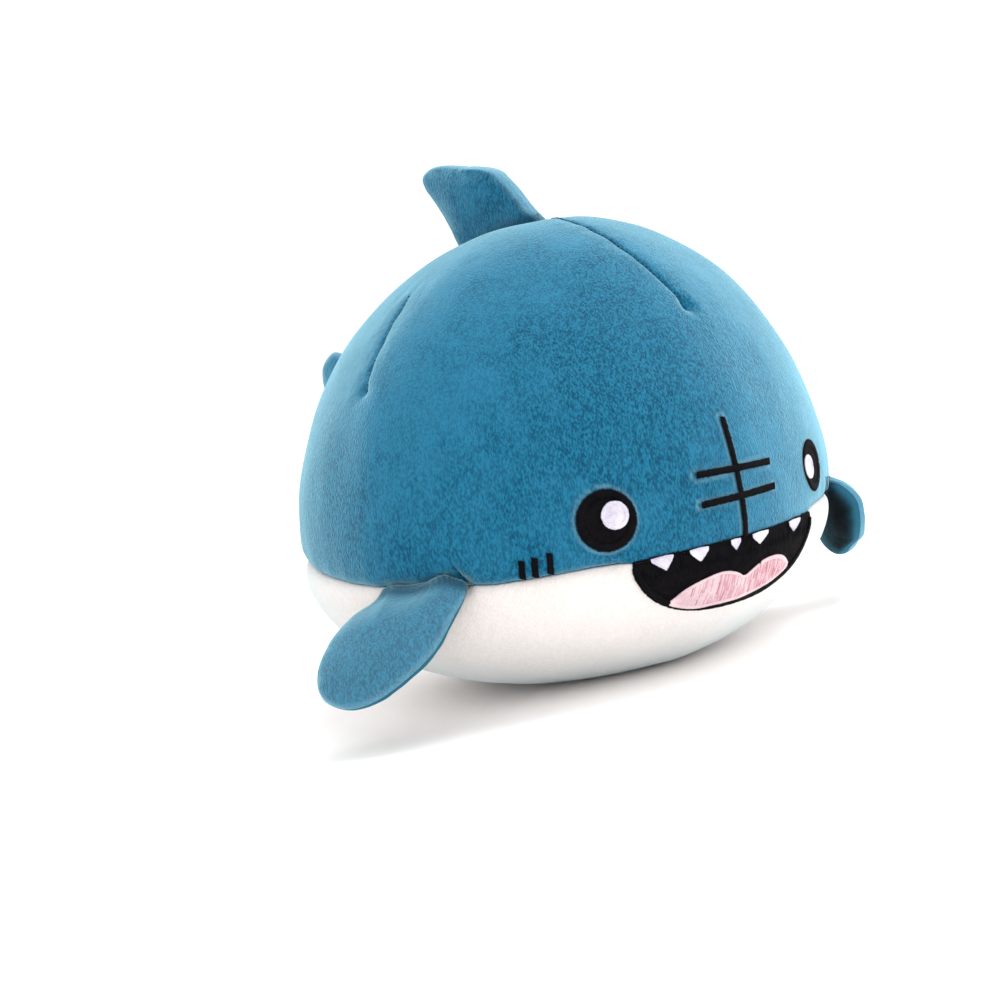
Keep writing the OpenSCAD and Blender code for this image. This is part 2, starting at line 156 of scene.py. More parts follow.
top_low, top_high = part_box("top_panel")
belly_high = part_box("belly_panel")[1]
HALF_W = top_high.x
FRONT_LEN = -top_low.y
REAR_LEN = belly_high.y
DOME_H = top_high.z - WIDEST_Z
BELLY_D = 41 * MM
FRONT_ROUND, REAR_ROUND = 1.75, 2.05
SEAM_FRONT_Z = -5 * MM
SEAM_SLOPE = 0.1
SEAM_TURN_Y = -30 * MM
SEAM_SAG = 0.6 * MM          # the seam hangs a little lower over the mouth
PILE = 1.1 * MM              # thickness of the plush with its backing


def smooth(edge0, edge1, v):
    t = np.clip((v - edge0) / (edge1 - edge0), 0, 1)
    return t * t * (3 - 2 * t)


def signed_power(v, e):
    return np.sign(v) * np.abs(v) ** e


def sharp(gap, depth, width):
    """The height of a pinched fold at a gap from its line."""
    return depth * np.exp(-gap / width)


def soft(gap, depth, width):
    """The height of a rounded swell at a gap from its line."""
    return depth * np.exp(-(gap / width) ** 2)


def plan(lon, t=0.0):
    """The body's outline seen from above, t outside the plush; lon 0 is the nose."""
    s, c = np.sin(lon), np.cos(lon)
    front = c > 0
    e = np.where(front, 2 / FRONT_ROUND, 2 / REAR_ROUND)
    length = np.where(front, FRONT_LEN, REAR_LEN) + t
    return (HALF_W + t) * signed_power(s, e), -length * signed_power(c, e)


def body_point(lon, lat, t=0.0):
    x, y = plan(lon, t)
    c = np.where(lat > 0, DOME_H, BELLY_D) + t
    return np.stack([x * np.cos(lat), y * np.cos(lat), WIDEST_Z + c * np.sin(lat)], -1)


def seam_height(y):
    """Height of the body seam above the widest line."""
    sag = SEAM_SAG * (1 - smooth(-50 * MM, -44 * MM, y))
    return SEAM_FRONT_Z - sag + SEAM_SLOPE * np.maximum(0, y - SEAM_TURN_Y)


def seam_lat(lon, rise=0.0):
    z = seam_height(plan(lon)[1]) + rise
    return np.arcsin(z / np.where(z > 0, DOME_H, BELLY_D))


def onto_body(p, t=0.0):
    """Points moved along their line from the body's middle until they are t outside."""
    p = np.asarray(p, float)
    front = p[..., 1] < 0
    n = np.where(front, FRONT_ROUND, REAR_ROUND)
    length = np.where(front, FRONT_LEN, REAR_LEN) + t
    h = p[..., 2] - WIDEST_Z
    c = np.where(h > 0, DOME_H, BELLY_D) + t
    flat = (np.abs(p[..., 0]) / (HALF_W + t)) ** n + (np.abs(p[..., 1]) / length) ** n
    k = (flat ** (2 / n) + (h / c) ** 2) ** -0.5
    return np.stack([p[..., 0] * k, p[..., 1] * k, WIDEST_Z + h * k], -1)


def face_point(x, z):
    """A point of the face at x and at height z above the widest line."""
    x, z = np.asarray(x, float), np.asarray(z, float)
    c = np.where(z > 0, DOME_H, BELLY_D)
    g = np.sqrt(1 - (z / c) ** 2)
    s = (np.abs(x) / (HALF_W * g)) ** FRONT_ROUND
    return np.stack([x, -FRONT_LEN * g * (1 - s) ** (1 / FRONT_ROUND), WIDEST_Z + z], -1)


def mm(*values):
    return np.array(values, float) * MM


def run_between(a, b, count):
    """Points on the body's surface from a to b, both in the part's frame."""
    t = np.linspace(0, 1, count)[:, None]
    return onto_body(a + (b - a) * t)


def front_dart():
    """Down the forehead, drifting to the left side as it comes."""
    t = np.linspace(0, 1, 60)
    start, end = mm(-1.5, -3, 119), mm(6.2, -42, 92)
    return onto_body(start + (end - start) * np.stack([t ** 3, t, t], 1))


# The darts, from their upper end to the point where each runs out
FRONT_DART = front_dart()
SIDE_DARTS = [run_between(mm(s * 40.5, 7.6, 107.5), mm(s * 63.7, 4.9, 84.3), 30) for s in (-1, 1)]
# The creases that rise into the blue panel from the front of each flipper
FLIPPER_CREASES = [run_between(mm(s * x, y, 34), mm(s * (x + 1.5), y + 2.2, z), 12)
                   for s in (-1, 1) for x, y, z in ((65.5, -24.8, 43), (67.6, -22.4, 39.5))]


def joint_named(name):
    return next(j for j in frame["joints"] if j["name"] == name)


def root_arch(y):
    """How far the blue panel is pushed up along a flipper's root, y behind its middle."""
    return soft(y + 4 * MM, 1.9 * MM, 4.2 * MM) + soft(y - 9.5 * MM, 0.7 * MM, 3 * MM)


def root_line(joint, low, high):
    """The line along which a fin is caught by the body, on the body's surface."""
    found = joint_named(joint)
    middle, axis = np.array(found["pos_m"]), np.array(found["axis"])
    axis = axis * math.copysign(1, axis[1]) if abs(axis[1]) > 0.5 else axis
    path = run_between(middle + axis * low * MM, middle + axis * high * MM, 24)
    if "flipper" in joint:
        path[:, 2] += root_arch(np.linspace(low, high, 24) * MM)
    return path


FLIPPER_ROOTS = [root_line(side + "_flipper_flap", -8.8, 13.5) for side in ("right", "left")]
DORSAL_ROOT = root_line("dorsal_fin_flop", -15.5, 18)
TAIL_ROOT = root_line("tail_wag", -7.5, 7.5)

# Places on the face, sideways and above the widest line
EYE_X, EYE_Z = 36.8 * MM, 6.2 * MM
EYE_R = 7.6 * MM
LEFT_EYE_R = 6.7 * MM
SCAR_TOP = 24.8 * MM
SCAR_BARS = ((12.4 * MM, 11.3 * MM), (5 * MM, 5 * MM))     # height at each end
SCAR_HALF = 12.8 * MM
LINE_W = 1.45 * MM
MOUTH_HALF = 32.5 * MM
MOUTH_TOP = SEAM_FRONT_Z - SEAM_SAG - 0.2 * MM
MOUTH_DROP = 16.4 * MM


def face_line(a, b, count=40):
    t = np.linspace(0, 1, count)
    return face_point(a[0] + (b[0] - a[0]) * t, a[1] + (b[1] - a[1]) * t)


def mouth_low(x, inset=0.0):
    """Height of the mouth's lower edge."""
    s = np.minimum(1, np.abs(x) / (MOUTH_HALF - inset))
    return MOUTH_TOP - inset - (MOUTH_DROP - 2 * inset) * (1 - s ** 2.7) ** 0.66


SCAR_LINES = [face_line((-0.4 * MM, SCAR_TOP), (-0.4 * MM, SEAM_FRONT_Z - SEAM_SAG), 60)]
SCAR_LINES += [face_line((-SCAR_HALF, a), (SCAR_HALF, b), 40) for a, b in SCAR_BARS]


def distance_along(points, path):
    """For each point: its distance from the path, and how far along it is, 0 to 1."""
    a, b = path[:-1], path[1:]
    d = b - a
    best = np.full(len(points), 1e9)
    where = np.zeros(len(points))
    for i in range(len(d)):
        t = np.clip(((points - a[i]) @ d[i]) / (d[i] @ d[i]), 0, 1)
        gap = np.linalg.norm(points - (a[i] + t[:, None] * d[i]), axis=1)
        near = gap < best
        best[near] = gap[near]
        where[near] = (i + t[near]) / len(d)
    return best, where


def lumps(points, size, seed):
    """Soft noise between -1 and 1 with lumps of the given size."""
    shift = Vector((seed * 7.31, seed * 3.17, seed * 5.71))
    return np.array([noise.noise(Vector(p) / size + shift) for p in points])


DARTS = [(FRONT_DART, 1.2 * MM, 1.4 * MM)]         # how deep it is, and its end
DARTS += [(path, 0.9 * MM, 0.6 * MM) for path in SIDE_DARTS]
MOUTH_FLAT = (31 * MM, 36 * MM)


def tension(points, seam_gap):
    """How far the plush stands out or in at each point, from how it is sewn."""
    out = 0.6 * MM * lumps(points, 34 * MM, 1) + 0.25 * MM * lumps(points, 12 * MM, 2)
    # the seam pulls both panels in, with small gathers where the stitches hold,
    # but not under the mouth, where the embroidery keeps the plush flat
    tuck = 1 - 0.8 * (1 - smooth(*MOUTH_FLAT, np.abs(points[:, 0]))) * (points[:, 1] < 0)
    gathers = lumps(points * [1, 1, 0.25], 4.2 * MM, 3)
    out -= tuck * (sharp(seam_gap, 1.9 * MM, 1.3 * MM) + soft(seam_gap, 0.5 * MM, 6 * MM))
    out += tuck * gathers * soft(seam_gap, 0.28 * MM, 6 * MM)
    for path, deep, end_deep in DARTS:
        gap, along = distance_along(points, path)
        fade = smooth(0.05, 0.25, along)
        out -= fade * (sharp(gap, deep, 0.5 * MM) + soft(gap, 0.3 * MM, 3 * MM))
        ripple = lumps(points * [0.35, 1, 1], 3.4 * MM, 4)
        out += ripple * soft(gap, 0.26 * MM, 6 * MM)
        out -= soft(np.linalg.norm(points - path[-1], axis=1), end_deep, 2.2 * MM)
    for path in FLIPPER_CREASES:
        gap, along = distance_along(points, path)
        out -= (1 - smooth(0.45, 1, along)) * sharp(gap, 2.3 * MM, 0.6 * MM)
    for path in FLIPPER_ROOTS:
        gap = distance_along(points, path)[0]
        out -= soft(gap, 1.8 * MM, 2.2 * MM) + soft(gap, 0.6 * MM, 7 * MM)
    for path in (DORSAL_ROOT, TAIL_ROOT):
        gap = distance_along(points, path)[0]
        out -= soft(gap, 1.7 * MM, 2.2 * MM) + soft(gap, 0.8 * MM, 7 * MM)
        out += lumps(points, 4 * MM, 5) * soft(gap, 0.3 * MM, 7 * MM)
    return out


FLATTENED_SHEEN_BAND = 0.4 * MM      # painted sheen this wide beside the embroidery, where the pile is flattened


def pressed_pile(points):
    """Where painted sheen lightens the plush beside the embroidery, whose pile is flattened there,
    0 to 1.
    """
    gaps = [np.linalg.norm(points - face_point(side * EYE_X, EYE_Z), axis=1) - radius
            for side, radius in ((-1, EYE_R), (1, LEFT_EYE_R))]
    x = np.linspace(-1, 1, 80) * (MOUTH_HALF - 0.2 * MM)
    lines = [(line, LINE_W / 2) for line in SCAR_LINES] + [(face_point(x, mouth_low(x)), 0)]
    gaps += [distance_along(points, path)[0] - half for path, half in lines]
    return np.max([soft(gap - 0.5 * MM, 1, FLATTENED_SHEEN_BAND) for gap in gaps], axis=0)


LON_STEPS = 640


def lon_values(steps):
    """Angles round the body from the tail, closer together on the face than behind."""
    u = np.arange(steps) / steps * 2 * math.pi - math.pi
    return u - 0.45 * np.sin(u)


def panel_rows(count, near_seam):
    """Shares of the way from the pole to the seam, closer together at the seam."""
    t = np.linspace(0, 1, count + 1)[1:]
    return 1 - (1 - t) ** near_seam


def panel_surface(pole_lat, shares, rise, steps):
    """Points of one panel, row by row from the pole to its edge, and for each the
    seam's point under it."""
    lon = lon_values(steps)
    edge = seam_lat(lon, rise)
    lat = pole_lat + (edge - pole_lat)[None, :] * shares[:, None]
    points = body_point(np.broadcast_to(lon, lat.shape), lat)
    seam = body_point(lon, seam_lat(lon))
    return points.reshape(-1, 3), np.broadcast_to(seam, points.shape).reshape(-1, 3)


def outward_of(points):
    """The direction out of the body's surface, from its formula."""
    e = 1e-5
    steps = np.eye(3) * e
    slope = np.stack([shape_value(points + step) - shape_value(points - step)
                      for step in steps], -1)
    return slope / np.linalg.norm(slope, axis=1)[:, None]


def shape_value(p):
    n = np.where(p[:, 1] < 0, FRONT_ROUND, REAR_ROUND)
    length = np.where(p[:, 1] < 0, FRONT_LEN, REAR_LEN)
    h = p[:, 2] - WIDEST_Z
    c = np.where(h > 0, DOME_H, BELLY_D)
    flat = (np.abs(p[:, 0]) / HALF_W) ** n + (np.abs(p[:, 1]) / length) ** n
    return flat ** (2 / n) + (h / c) ** 2


def new_piece(name, points, faces, material=None):
    """A smooth closed skin with its faces turned outwards."""
    mesh = bpy.data.meshes.new(name)
    mesh.from_pydata([tuple(p) for p in points], [], faces)
    mesh.validate()
    mesh.update()
    mesh.polygons.foreach_set("use_smooth", [True] * len(mesh.polygons))
    if material:
        mesh.materials.append(material)
    bm = bmesh.new()
    bm.from_mesh(mesh)
    bmesh.ops.recalc_face_normals(bm, faces=bm.faces)
    bm.to_mesh(mesh)
    bm.free()
    return placed(name, mesh)


def set_attribute(mesh, name, values, kind="FLOAT"):
    found = mesh.attributes.new(name, kind, "POINT")
    found.data.foreach_set("value" if kind == "FLOAT" else "vector",
                           np.ascontiguousarray(values, np.float32).ravel())


def grid_faces(row_count, n, start=0, flip=False):
    """Quads between rings of n points, one ring after another."""
    faces = []
    for i in range(row_count - 1):
        for j in range(n):
            a, b = start + i * n + j, start + i * n + (j + 1) % n
            quad = (a, a + n, b + n, b)
            faces.append(quad[::-1] if flip else quad)
    return faces


def closed_faces(row_count, n):
    """Faces over rings of n points, closed by two more points: the middle of the first
    ring and the middle of the last."""
    count = row_count * n
    end = count - n
    faces = grid_faces(row_count, n)
    faces += [(count, j, (j + 1) % n) for j in range(n)]
    return faces + [(count + 1, end + (j + 1) % n, end + j) for j in range(n)]


CLOTH_FRAMES = 20


def billowed(points, faces, held, cap, pressure):
    """A cloth simulation: a closed skin is filled until it stands out as far as it
    can, while the held points stay. No point moves further than cap."""
    scene = bpy.context.scene
    piece = new_piece("billow", points, faces)
    group = piece.vertex_groups.new(name="held")
    group.add([int(i) for i in held], 1.0, "REPLACE")
    modifier = piece.modifiers.new("cloth", "CLOTH")
    cloth = modifier.settings
    cloth.quality = 6
    cloth.mass = 0.15
    cloth.tension_stiffness = cloth.compression_stiffness = 12
    cloth.shear_stiffness = 6
    cloth.bending_stiffness = 0.3
    cloth.vertex_group_mass = "held"
    cloth.use_pressure = True
    cloth.uniform_pressure_force = pressure
    cloth.effector_weights.gravity = 0
    modifier.collision_settings.use_collision = False
    modifier.point_cache.frame_start = 1
    modifier.point_cache.frame_end = CLOTH_FRAMES
    for moment in range(1, CLOTH_FRAMES + 1):
        scene.frame_set(moment)
    blown = piece.evaluated_get(bpy.context.evaluated_depsgraph_get()).data
    after = np.empty(len(points) * 3, np.float32)
    blown.vertices.foreach_get("co", after)
    scene.frame_set(1)
    bpy.data.objects.remove(piece)
    move = after.reshape(-1, 3) - points
    length = np.linalg.norm(move, axis=1)[:, None] + 1e-9
    return points + move * np.minimum(1, cap / length)


COARSE_STEPS = 128
SWELL_CAP = 2.5 * MM
AIR_PRESSURE = 4.0


def body_swell():
    """How far the filled skin stands out, as a grid for each panel from its pole to
    the seam: the whole skin is blown up while the seam, the front dart's lower part,
    the fins and the floor hold it."""
    top_rows, belly_rows = 32, 20
    n = COARSE_STEPS
    over, _ = panel_surface(math.pi / 2, np.arange(1, top_rows + 1) / top_rows, 0, n)
    under, _ = panel_surface(-math.pi / 2, np.arange(1, belly_rows) / belly_rows, 0, n)
    rings = np.concatenate([over, under.reshape(-1, n, 3)[::-1].reshape(-1, 3)])
    poles = body_point(np.zeros(2), np.array([1, -1]) * math.pi / 2)
    points = np.concatenate([rings, poles])
    count = len(rings)
    row_count = count // n
    seam = np.arange((top_rows - 1) * n, top_rows * n, 3)
    caught = [np.flatnonzero(distance_along(points, path)[0] < 2.4 * MM)
              for path in (FRONT_DART[24:], *FLIPPER_ROOTS, DORSAL_ROOT, TAIL_ROOT)]
    resting = np.flatnonzero(points[:, 2] < 2 * MM)
    held = np.unique(np.concatenate([seam, resting, *caught]))
    after = billowed(points, closed_faces(row_count, n), held, SWELL_CAP, AIR_PRESSURE)
    swell = ((after - points) * outward_of(points)).sum(1)
    swell -= np.median(swell)
    rows = swell[:count].reshape(row_count, n)
    top_grid = np.concatenate([np.full((1, n), swell[count]), rows[:top_rows]])
    belly_grid = np.concatenate([rows[top_rows - 1:], np.full((1, n), swell[count + 1])])[::-1]
    return top_grid, belly_grid


def sampled(grid, shares):
    """The swell of a coarse grid at every point of a panel's fine one."""
    row = shares * (len(grid) - 1)
    low = np.minimum(row.astype(int), len(grid) - 2)
    part = (row - low)[:, None]
    rows = grid[low] * (1 - part) + grid[low + 1] * part
    column = np.arange(LON_STEPS) / LON_STEPS * COARSE_STEPS
    left = column.astype(int)
    part = (column - left)[None, :]
    part = part * part * (3 - 2 * part)
    return (rows[:, left] * (1 - part) + rows[:, (left + 1) % COARSE_STEPS] * part).reshape(-1)


LINING_STEP = 4              # the hidden lining has one row for this many of the face
SWELL_SHARE = 0.7            # how much of the blown skin's swell the stuffed one keeps
TURNED_EDGE = 4.5 * MM


def sewn_panel(name, material, pole_lat, row_count, rise, swell):
    """One panel of the body: its face, the edge that turns in at the seam, and the
    lining side, as one closed piece."""
    n = LON_STEPS
    shares = panel_rows(row_count, 1.25)
    points, seam = panel_surface(pole_lat, shares, rise, n)
    out = outward_of(points)
    seam_gap = np.linalg.norm(points - seam, axis=1)
    rise_out = tension(points, seam_gap) + SWELL_SHARE * sampled(swell, shares)
    face = points + out * rise_out[:, None]
    pole = body_point(np.array([0.0]), np.array([pole_lat]))
    pole_out = outward_of(pole)
    far_from_seam = np.array([90 * MM])
    pole_face = pole + pole_out * (tension(pole, far_from_seam)[0] + SWELL_SHARE * swell[0, 0])
    if rise < 0:
        # the weight presses the belly flat on the floor
        face[:, 2] = on_floor(face[:, 2])
        pole_face[:, 2] = on_floor(pole_face[:, 2])
    lining = (face - out * PILE).reshape(-1, n, 3)[::-LINING_STEP][::-1].reshape(-1, 3)
    pole_lining = pole_face - pole_out * PILE
    last = face[-n:]
    inward = last * [1, 1, 0]
    inward /= np.linalg.norm(inward, axis=1)[:, None]
    turned = [last - inward * TURNED_EDGE * share for share in (0.35, 1.0)]
    under = turned[-1] + [0, 0, math.copysign(PILE * 0.8, rise)]
    back = lining.reshape(-1, n, 3)[::-1].reshape(-1, 3)
    everything = np.concatenate([face, *turned, under, back, pole_face, pole_lining])
    piece = new_piece(name, everything, closed_faces((len(everything) - 2) // n, n), material)
    pressed = np.zeros(len(everything))
    # painted sheen beside the embroidery, on the outer face only
    pressed[:len(face)] = pressed_pile(face)
    set_attribute(piece.data, "pressed", pressed)
    return piece


FLOOR_ROUNDING = 1.2 * MM


def on_floor(z):
    """Heights kept above the floor, with a small rounding where they meet it."""
    lowest = BELLY_D - WIDEST_Z
    return (z + np.hypot(z, FLOOR_ROUNDING) - math.hypot(lowest, FLOOR_ROUNDING) + lowest) / 2


def new_node(tree, kind, given, **settings):
    """A node. Each given input is a value or the output of another node."""
    node = tree.nodes.new(kind)
    for name, value in settings.items():
        setattr(node, name, value)
    for name, value in given.items():
        if isinstance(value, bpy.types.NodeSocket):
            tree.links.new(value, node.inputs[name])
        else:
            node.inputs[name].default_value = value
    return node


def noise_node(tree, coords, scale, detail, rough=0.5):
    given = {"Vector": coords, "Scale": scale, "Detail": detail, "Roughness": rough}
    return new_node(tree, "ShaderNodeTexNoise", given).outputs["Fac"]


def math_node(tree, kind, a, b=0.5):
    return new_node(tree, "ShaderNodeMath", {0: a, 1: b}, operation=kind).outputs[0]


def blend_of(tree, a, share, b):
    """The two patterns added up, the second with what is left of the share."""
    return math_node(tree, "ADD", math_node(tree, "MULTIPLY", a, share),
                     math_node(tree, "MULTIPLY", b, 1 - share))


def mapped(tree, value, low, high, to_low, to_high):
    given = {"Value": value, "From Min": low, "From Max": high, "To Min": to_low, "To Max": to_high}
    return new_node(tree, "ShaderNodeMapRange", given).outputs["Result"]


def mixed_colour(tree, share, a, b):
    a, b = ((*c, 1) if isinstance(c, tuple) else c for c in (a, b))
    given = {"Factor": share, "A": a, "B": b}
    return new_node(tree, "ShaderNodeMix", given, data_type="RGBA").outputs["Result"]


def attribute_share(tree, name, most):
    found = new_node(tree, "ShaderNodeAttribute", {}, attribute_name=name)
    return math_node(tree, "MULTIPLY", found.outputs["Fac"], most)


def add_bump(tree, shader, height, strength, distance):
    given = {"Height": height, "Strength": strength, "Distance": distance}
    bump = new_node(tree, "ShaderNodeBump", given)
    tree.links.new(bump.outputs["Normal"], shader.inputs["Normal"])


PILE_LEAN = {"Scale": (1, 1, 0.42), "Rotation": (0.3, 0.5, 0.2)}


def plush(name, deep, middle, light, pressed, pressed_share, sheen_tint, sheen, spread=0.42):
    """Short brushed pile: streaks of leaning fibres, speckle from single ones, and
    soft patches where the pile has been stroked one way or another."""
    material, tree, shader = new_material(name, {
        "Sheen Weight": sheen, "Sheen Roughness": spread, "Sheen Tint": (*sheen_tint, 1),
        "Specular IOR Level": 0.08})
    coords = tree.nodes.new("ShaderNodeTexCoord").outputs["Object"]
    leaning = new_node(tree, "ShaderNodeMapping", {"Vector": coords, **PILE_LEAN}).outputs["Vector"]
    grain = blend_of(tree, noise_node(tree, leaning, 2300, 2, 0.6), 0.68,
                     noise_node(tree, leaning, 900, 3, 0.6))
    nap = noise_node(tree, coords, 95, 3, 0.6)
    patches = blend_of(tree, nap, 0.45, noise_node(tree, coords, 16, 2))
    colour = mixed_colour(tree, mapped(tree, grain, 0.43, 0.57, 0, 1), deep, middle)
    colour = mixed_colour(tree, mapped(tree, patches, 0.44, 0.6, 0, 0.5), colour, light)
    # painted light: the pressed colour is mixed in where that attribute asks, as painted sheen
    # beside the embroidery, a painted rim highlight round the fins and painted light over the
    # flippers' upper sides
    colour = mixed_colour(tree, attribute_share(tree, "pressed", pressed_share), colour, pressed)
    # painted shade: the colour darkens to half the deep one in the fold at each fin's root
    colour = mixed_colour(tree, attribute_share(tree, "painted_root_shade", 0.75), colour,
                          tuple(0.5 * c for c in deep))
    tree.links.new(colour, shader.inputs["Base Color"])
    tree.links.new(mapped(tree, grain, 0.3, 0.7, 0.95, 0.78), shader.inputs["Roughness"])
    height = math_node(tree, "ADD", math_node(tree, "MULTIPLY", grain, 0.9),
                       math_node(tree, "MULTIPLY", nap, 0.6))
    add_bump(tree, shader, height, 0.6, 0.6 * MM)
    return material


# the fifth colour of each plush, with the share after it, is its painted light colour
blue_plush = plush("blue_plush", (0.001, 0.062, 0.128), (0.010, 0.158, 0.28),
                   (0.024, 0.195, 0.335), (0.28, 0.5, 0.6), 0.3, (0.5, 0.88, 1.0), 1.0)
white_plush = plush("white_plush", (0.78, 0.72, 0.69), (0.84, 0.775, 0.745),
                    (0.86, 0.80, 0.77), (0.95, 0.93, 0.91), 0.45, (0.6, 0.92, 1.0), 0.6)

top_swell, belly_swell = body_swell()

top = sewn_panel("top_plush", blue_plush, math.pi / 2, 118, 0.08 * MM, top_swell)
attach(top, "body")
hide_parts("top_panel")

belly = sewn_panel("belly_plush", white_plush, -math.pi / 2, 70, -0.08 * MM, belly_swell)
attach(belly, "body")
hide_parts("belly_panel")

# ---------------------------------------------------------------------------
# Body filling. Loose polyester fibre is pushed in by hand until the body is firm.
# It stays a little clear of the plush, and is drawn in along the seam.
# ---------------------------------------------------------------------------


def fibre_material():
    material, tree, shader = new_material("loose_fibre", {"Roughness": 0.9, "Sheen Weight": 0.4})
    coords = tree.nodes.new("ShaderNodeTexCoord").outputs["Object"]
    strands = noise_node(tree, coords, 260, 6, 0.75)
    colour = mixed_colour(tree, mapped(tree, strands, 0.35, 0.65, 0, 1),
                          (0.68, 0.68, 0.66), (0.93, 0.93, 0.92))
    tree.links.new(colour, shader.inputs["Base Color"])
    add_bump(tree, shader, strands, 0.8, 1 * MM)
    return material


FILLING_IN = 3.4 * MM        # from the plush's face to the filling
FILLING_FLOOR = 2.2 * MM


def body_filling():
    lon_count, lat_count = 120, 60
    lon = np.arange(lon_count) * 2 * math.pi / lon_count
    lat = np.linspace(math.pi / 2, -math.pi / 2, lat_count + 1)[1:-1]
    grid_lon, grid_lat = np.meshgrid(lon, lat)
    points = body_point(grid_lon, grid_lat, -FILLING_IN).reshape(-1, 3)
    seam_gap = np.abs(grid_lat - seam_lat(grid_lon)).reshape(-1) * HALF_W
    inward = soft(seam_gap, 4.2 * MM, 4 * MM)
    inward += 1.2 * MM * (1 + lumps(points, 13 * MM, 9))
    points -= outward_of(points) * inward[:, None]
    points[:, 2] = np.maximum(points[:, 2], FILLING_FLOOR)
    ends = np.array([[0, 0, WIDEST_Z + DOME_H - 4.5 * MM], [0, 0, FILLING_FLOOR]])
    return new_piece("body_fibre", np.concatenate([points, ends]),
                     closed_faces(len(lat), lon_count), fibre)


fibre = fibre_material()
filling = body_filling()
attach(filling, "body")
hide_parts("body_stuffing")

# ---------------------------------------------------------------------------
# Fins. Each is two pieces of plush sewn round the edge, turned right side out,
# lightly filled and caught by its open end in the body. All are blue, except for
# the undersides of the flippers, which are painted near black as painted shade,
# with a painted teal rim light along their edges.
# ---------------------------------------------------------------------------

ROOT_IN = 6 * MM             # how far a fin's open end reaches into the body


def spline(points, steps):
    """A smooth open curve through points."""
    points = np.asarray(points, float)
    found = []
    last = len(points) - 1
    for i in range(last):
        a, b, c, d = points[max(0, i - 1)], points[i], points[i + 1], points[min(last, i + 2)]
        for t in np.arange(steps) / steps:
            found.append(((2 * b) + (c - a) * t + (2 * a - 5 * b + 4 * c - d) * t ** 2
                          + (3 * b - a - 3 * c + d) * t ** 3) / 2)
    found.append(points[last])
    return np.array(found)


class Fin:
    """The place and pattern of one fin. Out, along and across are its own axes; across
    points to the side of its first panel. Inside the body it follows inner."""

    def __init__(self, name, joint, out, first_side, line, middle, puff, root_in,
                 curl=0.0, reach=1.0):
        found = joint_named(joint)
        self.name = name
        self.root = np.array(found["pos_m"])
        self.out = np.array(out, float)
        axis = np.array(found["axis"])
        self.along = axis if axis[1] > 0 or abs(axis[2]) > 0.5 else -axis
        self.across = np.cross(self.out, self.along)
        self.across *= math.copysign(1, self.across @ np.array(first_side))
        self.inner = self.out
        self.is_flipper = self.out[2] < 0
        if self.is_flipper:
            # it hangs from the seam, and its open end lies flat inside
            self.inner = self.out * [1, 1, 0] / np.linalg.norm(self.out[:2])
        self.inner_across = np.cross(self.inner, self.along)
        self.inner_across *= math.copysign(1, self.inner_across @ self.across)
        self.line = np.array(line, float) * MM
        self.middle = np.array(middle, float) * MM
        self.puff, self.root_in = puff, root_in
        # the dorsal fin is the fullest at its root
        self.root_half = (3.2 if self.out[2] > 0.9 else 1.7) * MM
        # the fin curls over towards its second side, and may be sewn a bit shorter
        self.run = np.linspace(0, 45, 91) * MM
        self.turn = curl * smooth(1 * MM, 13 * MM, self.run)
        step = (self.run[1] - self.run[0]) * reach
        self.run_out = np.concatenate([[0], np.cumsum(np.cos(self.turn[1:]) * step)])
        self.run_down = np.concatenate([[0], np.cumsum(np.sin(self.turn[1:]) * step)])
        self.root_y = np.linspace(-30, 30, 61) * MM
        self.root_gap = self.gap_to_body(self.root + self.root_y[:, None] * self.along)

    def gap_to_body(self, points):
        """How far each point of the straight root line is outside the body."""
        low, high = np.full(len(points), -20 * MM), np.full(len(points), 20 * MM)
        for _ in range(24):
            half = (low + high) / 2
            outside = shape_value(points - half[:, None] * self.inner) > 1
            low = np.where(outside, half, low)
            high = np.where(outside, high, half)
        return low

    def place(self, local):
        x, y, z = (local[..., i:i + 1] for i in range(3))
        bent = smooth(-0.5 * MM, 3.5 * MM, x)
        turn = np.interp(x, self.run, self.turn)
        point = self.root + np.minimum(x, 0) * self.inner + y * self.along
        point = point + np.interp(x, self.run, self.run_out) * self.out
        point = point - np.interp(x, self.run, self.run_down) * self.across
        across = np.cos(turn) * self.across + np.sin(turn) * self.out
        point = point + z * (across * bent + self.inner_across * (1 - bent))
        gap = np.interp(y, self.root_y, self.root_gap)
        point = point - self.inner * (gap + 0.8 * MM) * (1 - smooth(0, 11 * MM, x))
        if self.is_flipper:
            at_root = (1 - smooth(1 * MM, 11 * MM, x)) * smooth(-2 * MM, 0, x)
            point = point + [0, 0, 1] * root_arch(y) * at_root
        return point


FIN_EDGE = 0.3 * MM          # half of the thickness right at the seam
FOLD_UP, FOLD_OUT = 1.4 * MM, 0.6 * MM       # where one panel folds round the front edge
FIN_RINGS = np.array([1, 0.985, 0.965, 0.94, 0.91, 0.875, 0.835, 0.79, 0.74, 0.685, 0.625,
                      0.56, 0.49, 0.42, 0.34, 0.26, 0.17, 0.08])     # closest at the edge


def fin_height(fin, p, r):
    fade = np.sin(np.clip(p[..., 0] / (9 * MM), 0, 1) * math.pi / 2)
    root = fin.root_half * np.clip(1 + p[..., 0] / (12 * MM), 0.3, 1)
    full = fin.puff * np.sqrt(1 - r ** 2) * fade
    return np.maximum(full, root * np.sqrt(1 - r ** 6))


def fin_outline(fin):
    """The sewing line, carried on into the body at both ends of the root."""
    ends = []
    for a, b in ((fin.line[0], fin.line[1]), (fin.line[-1], fin.line[-2])):
        slope = np.clip((a[1] - b[1]) / (b[0] - a[0]), -0.7, 0.7)
        if fin.is_flipper:
            slope = -0.5 * math.copysign(1, a[1])
        ends.append(np.array([-fin.root_in, a[1] + slope * (a[0] + fin.root_in)]))
    curve = spline(np.concatenate([[ends[0]], fin.line, [ends[1]]]), 12)
    closing = np.linspace(curve[-1], curve[0], 14)[1:-1]
    return np.concatenate([curve, closing])


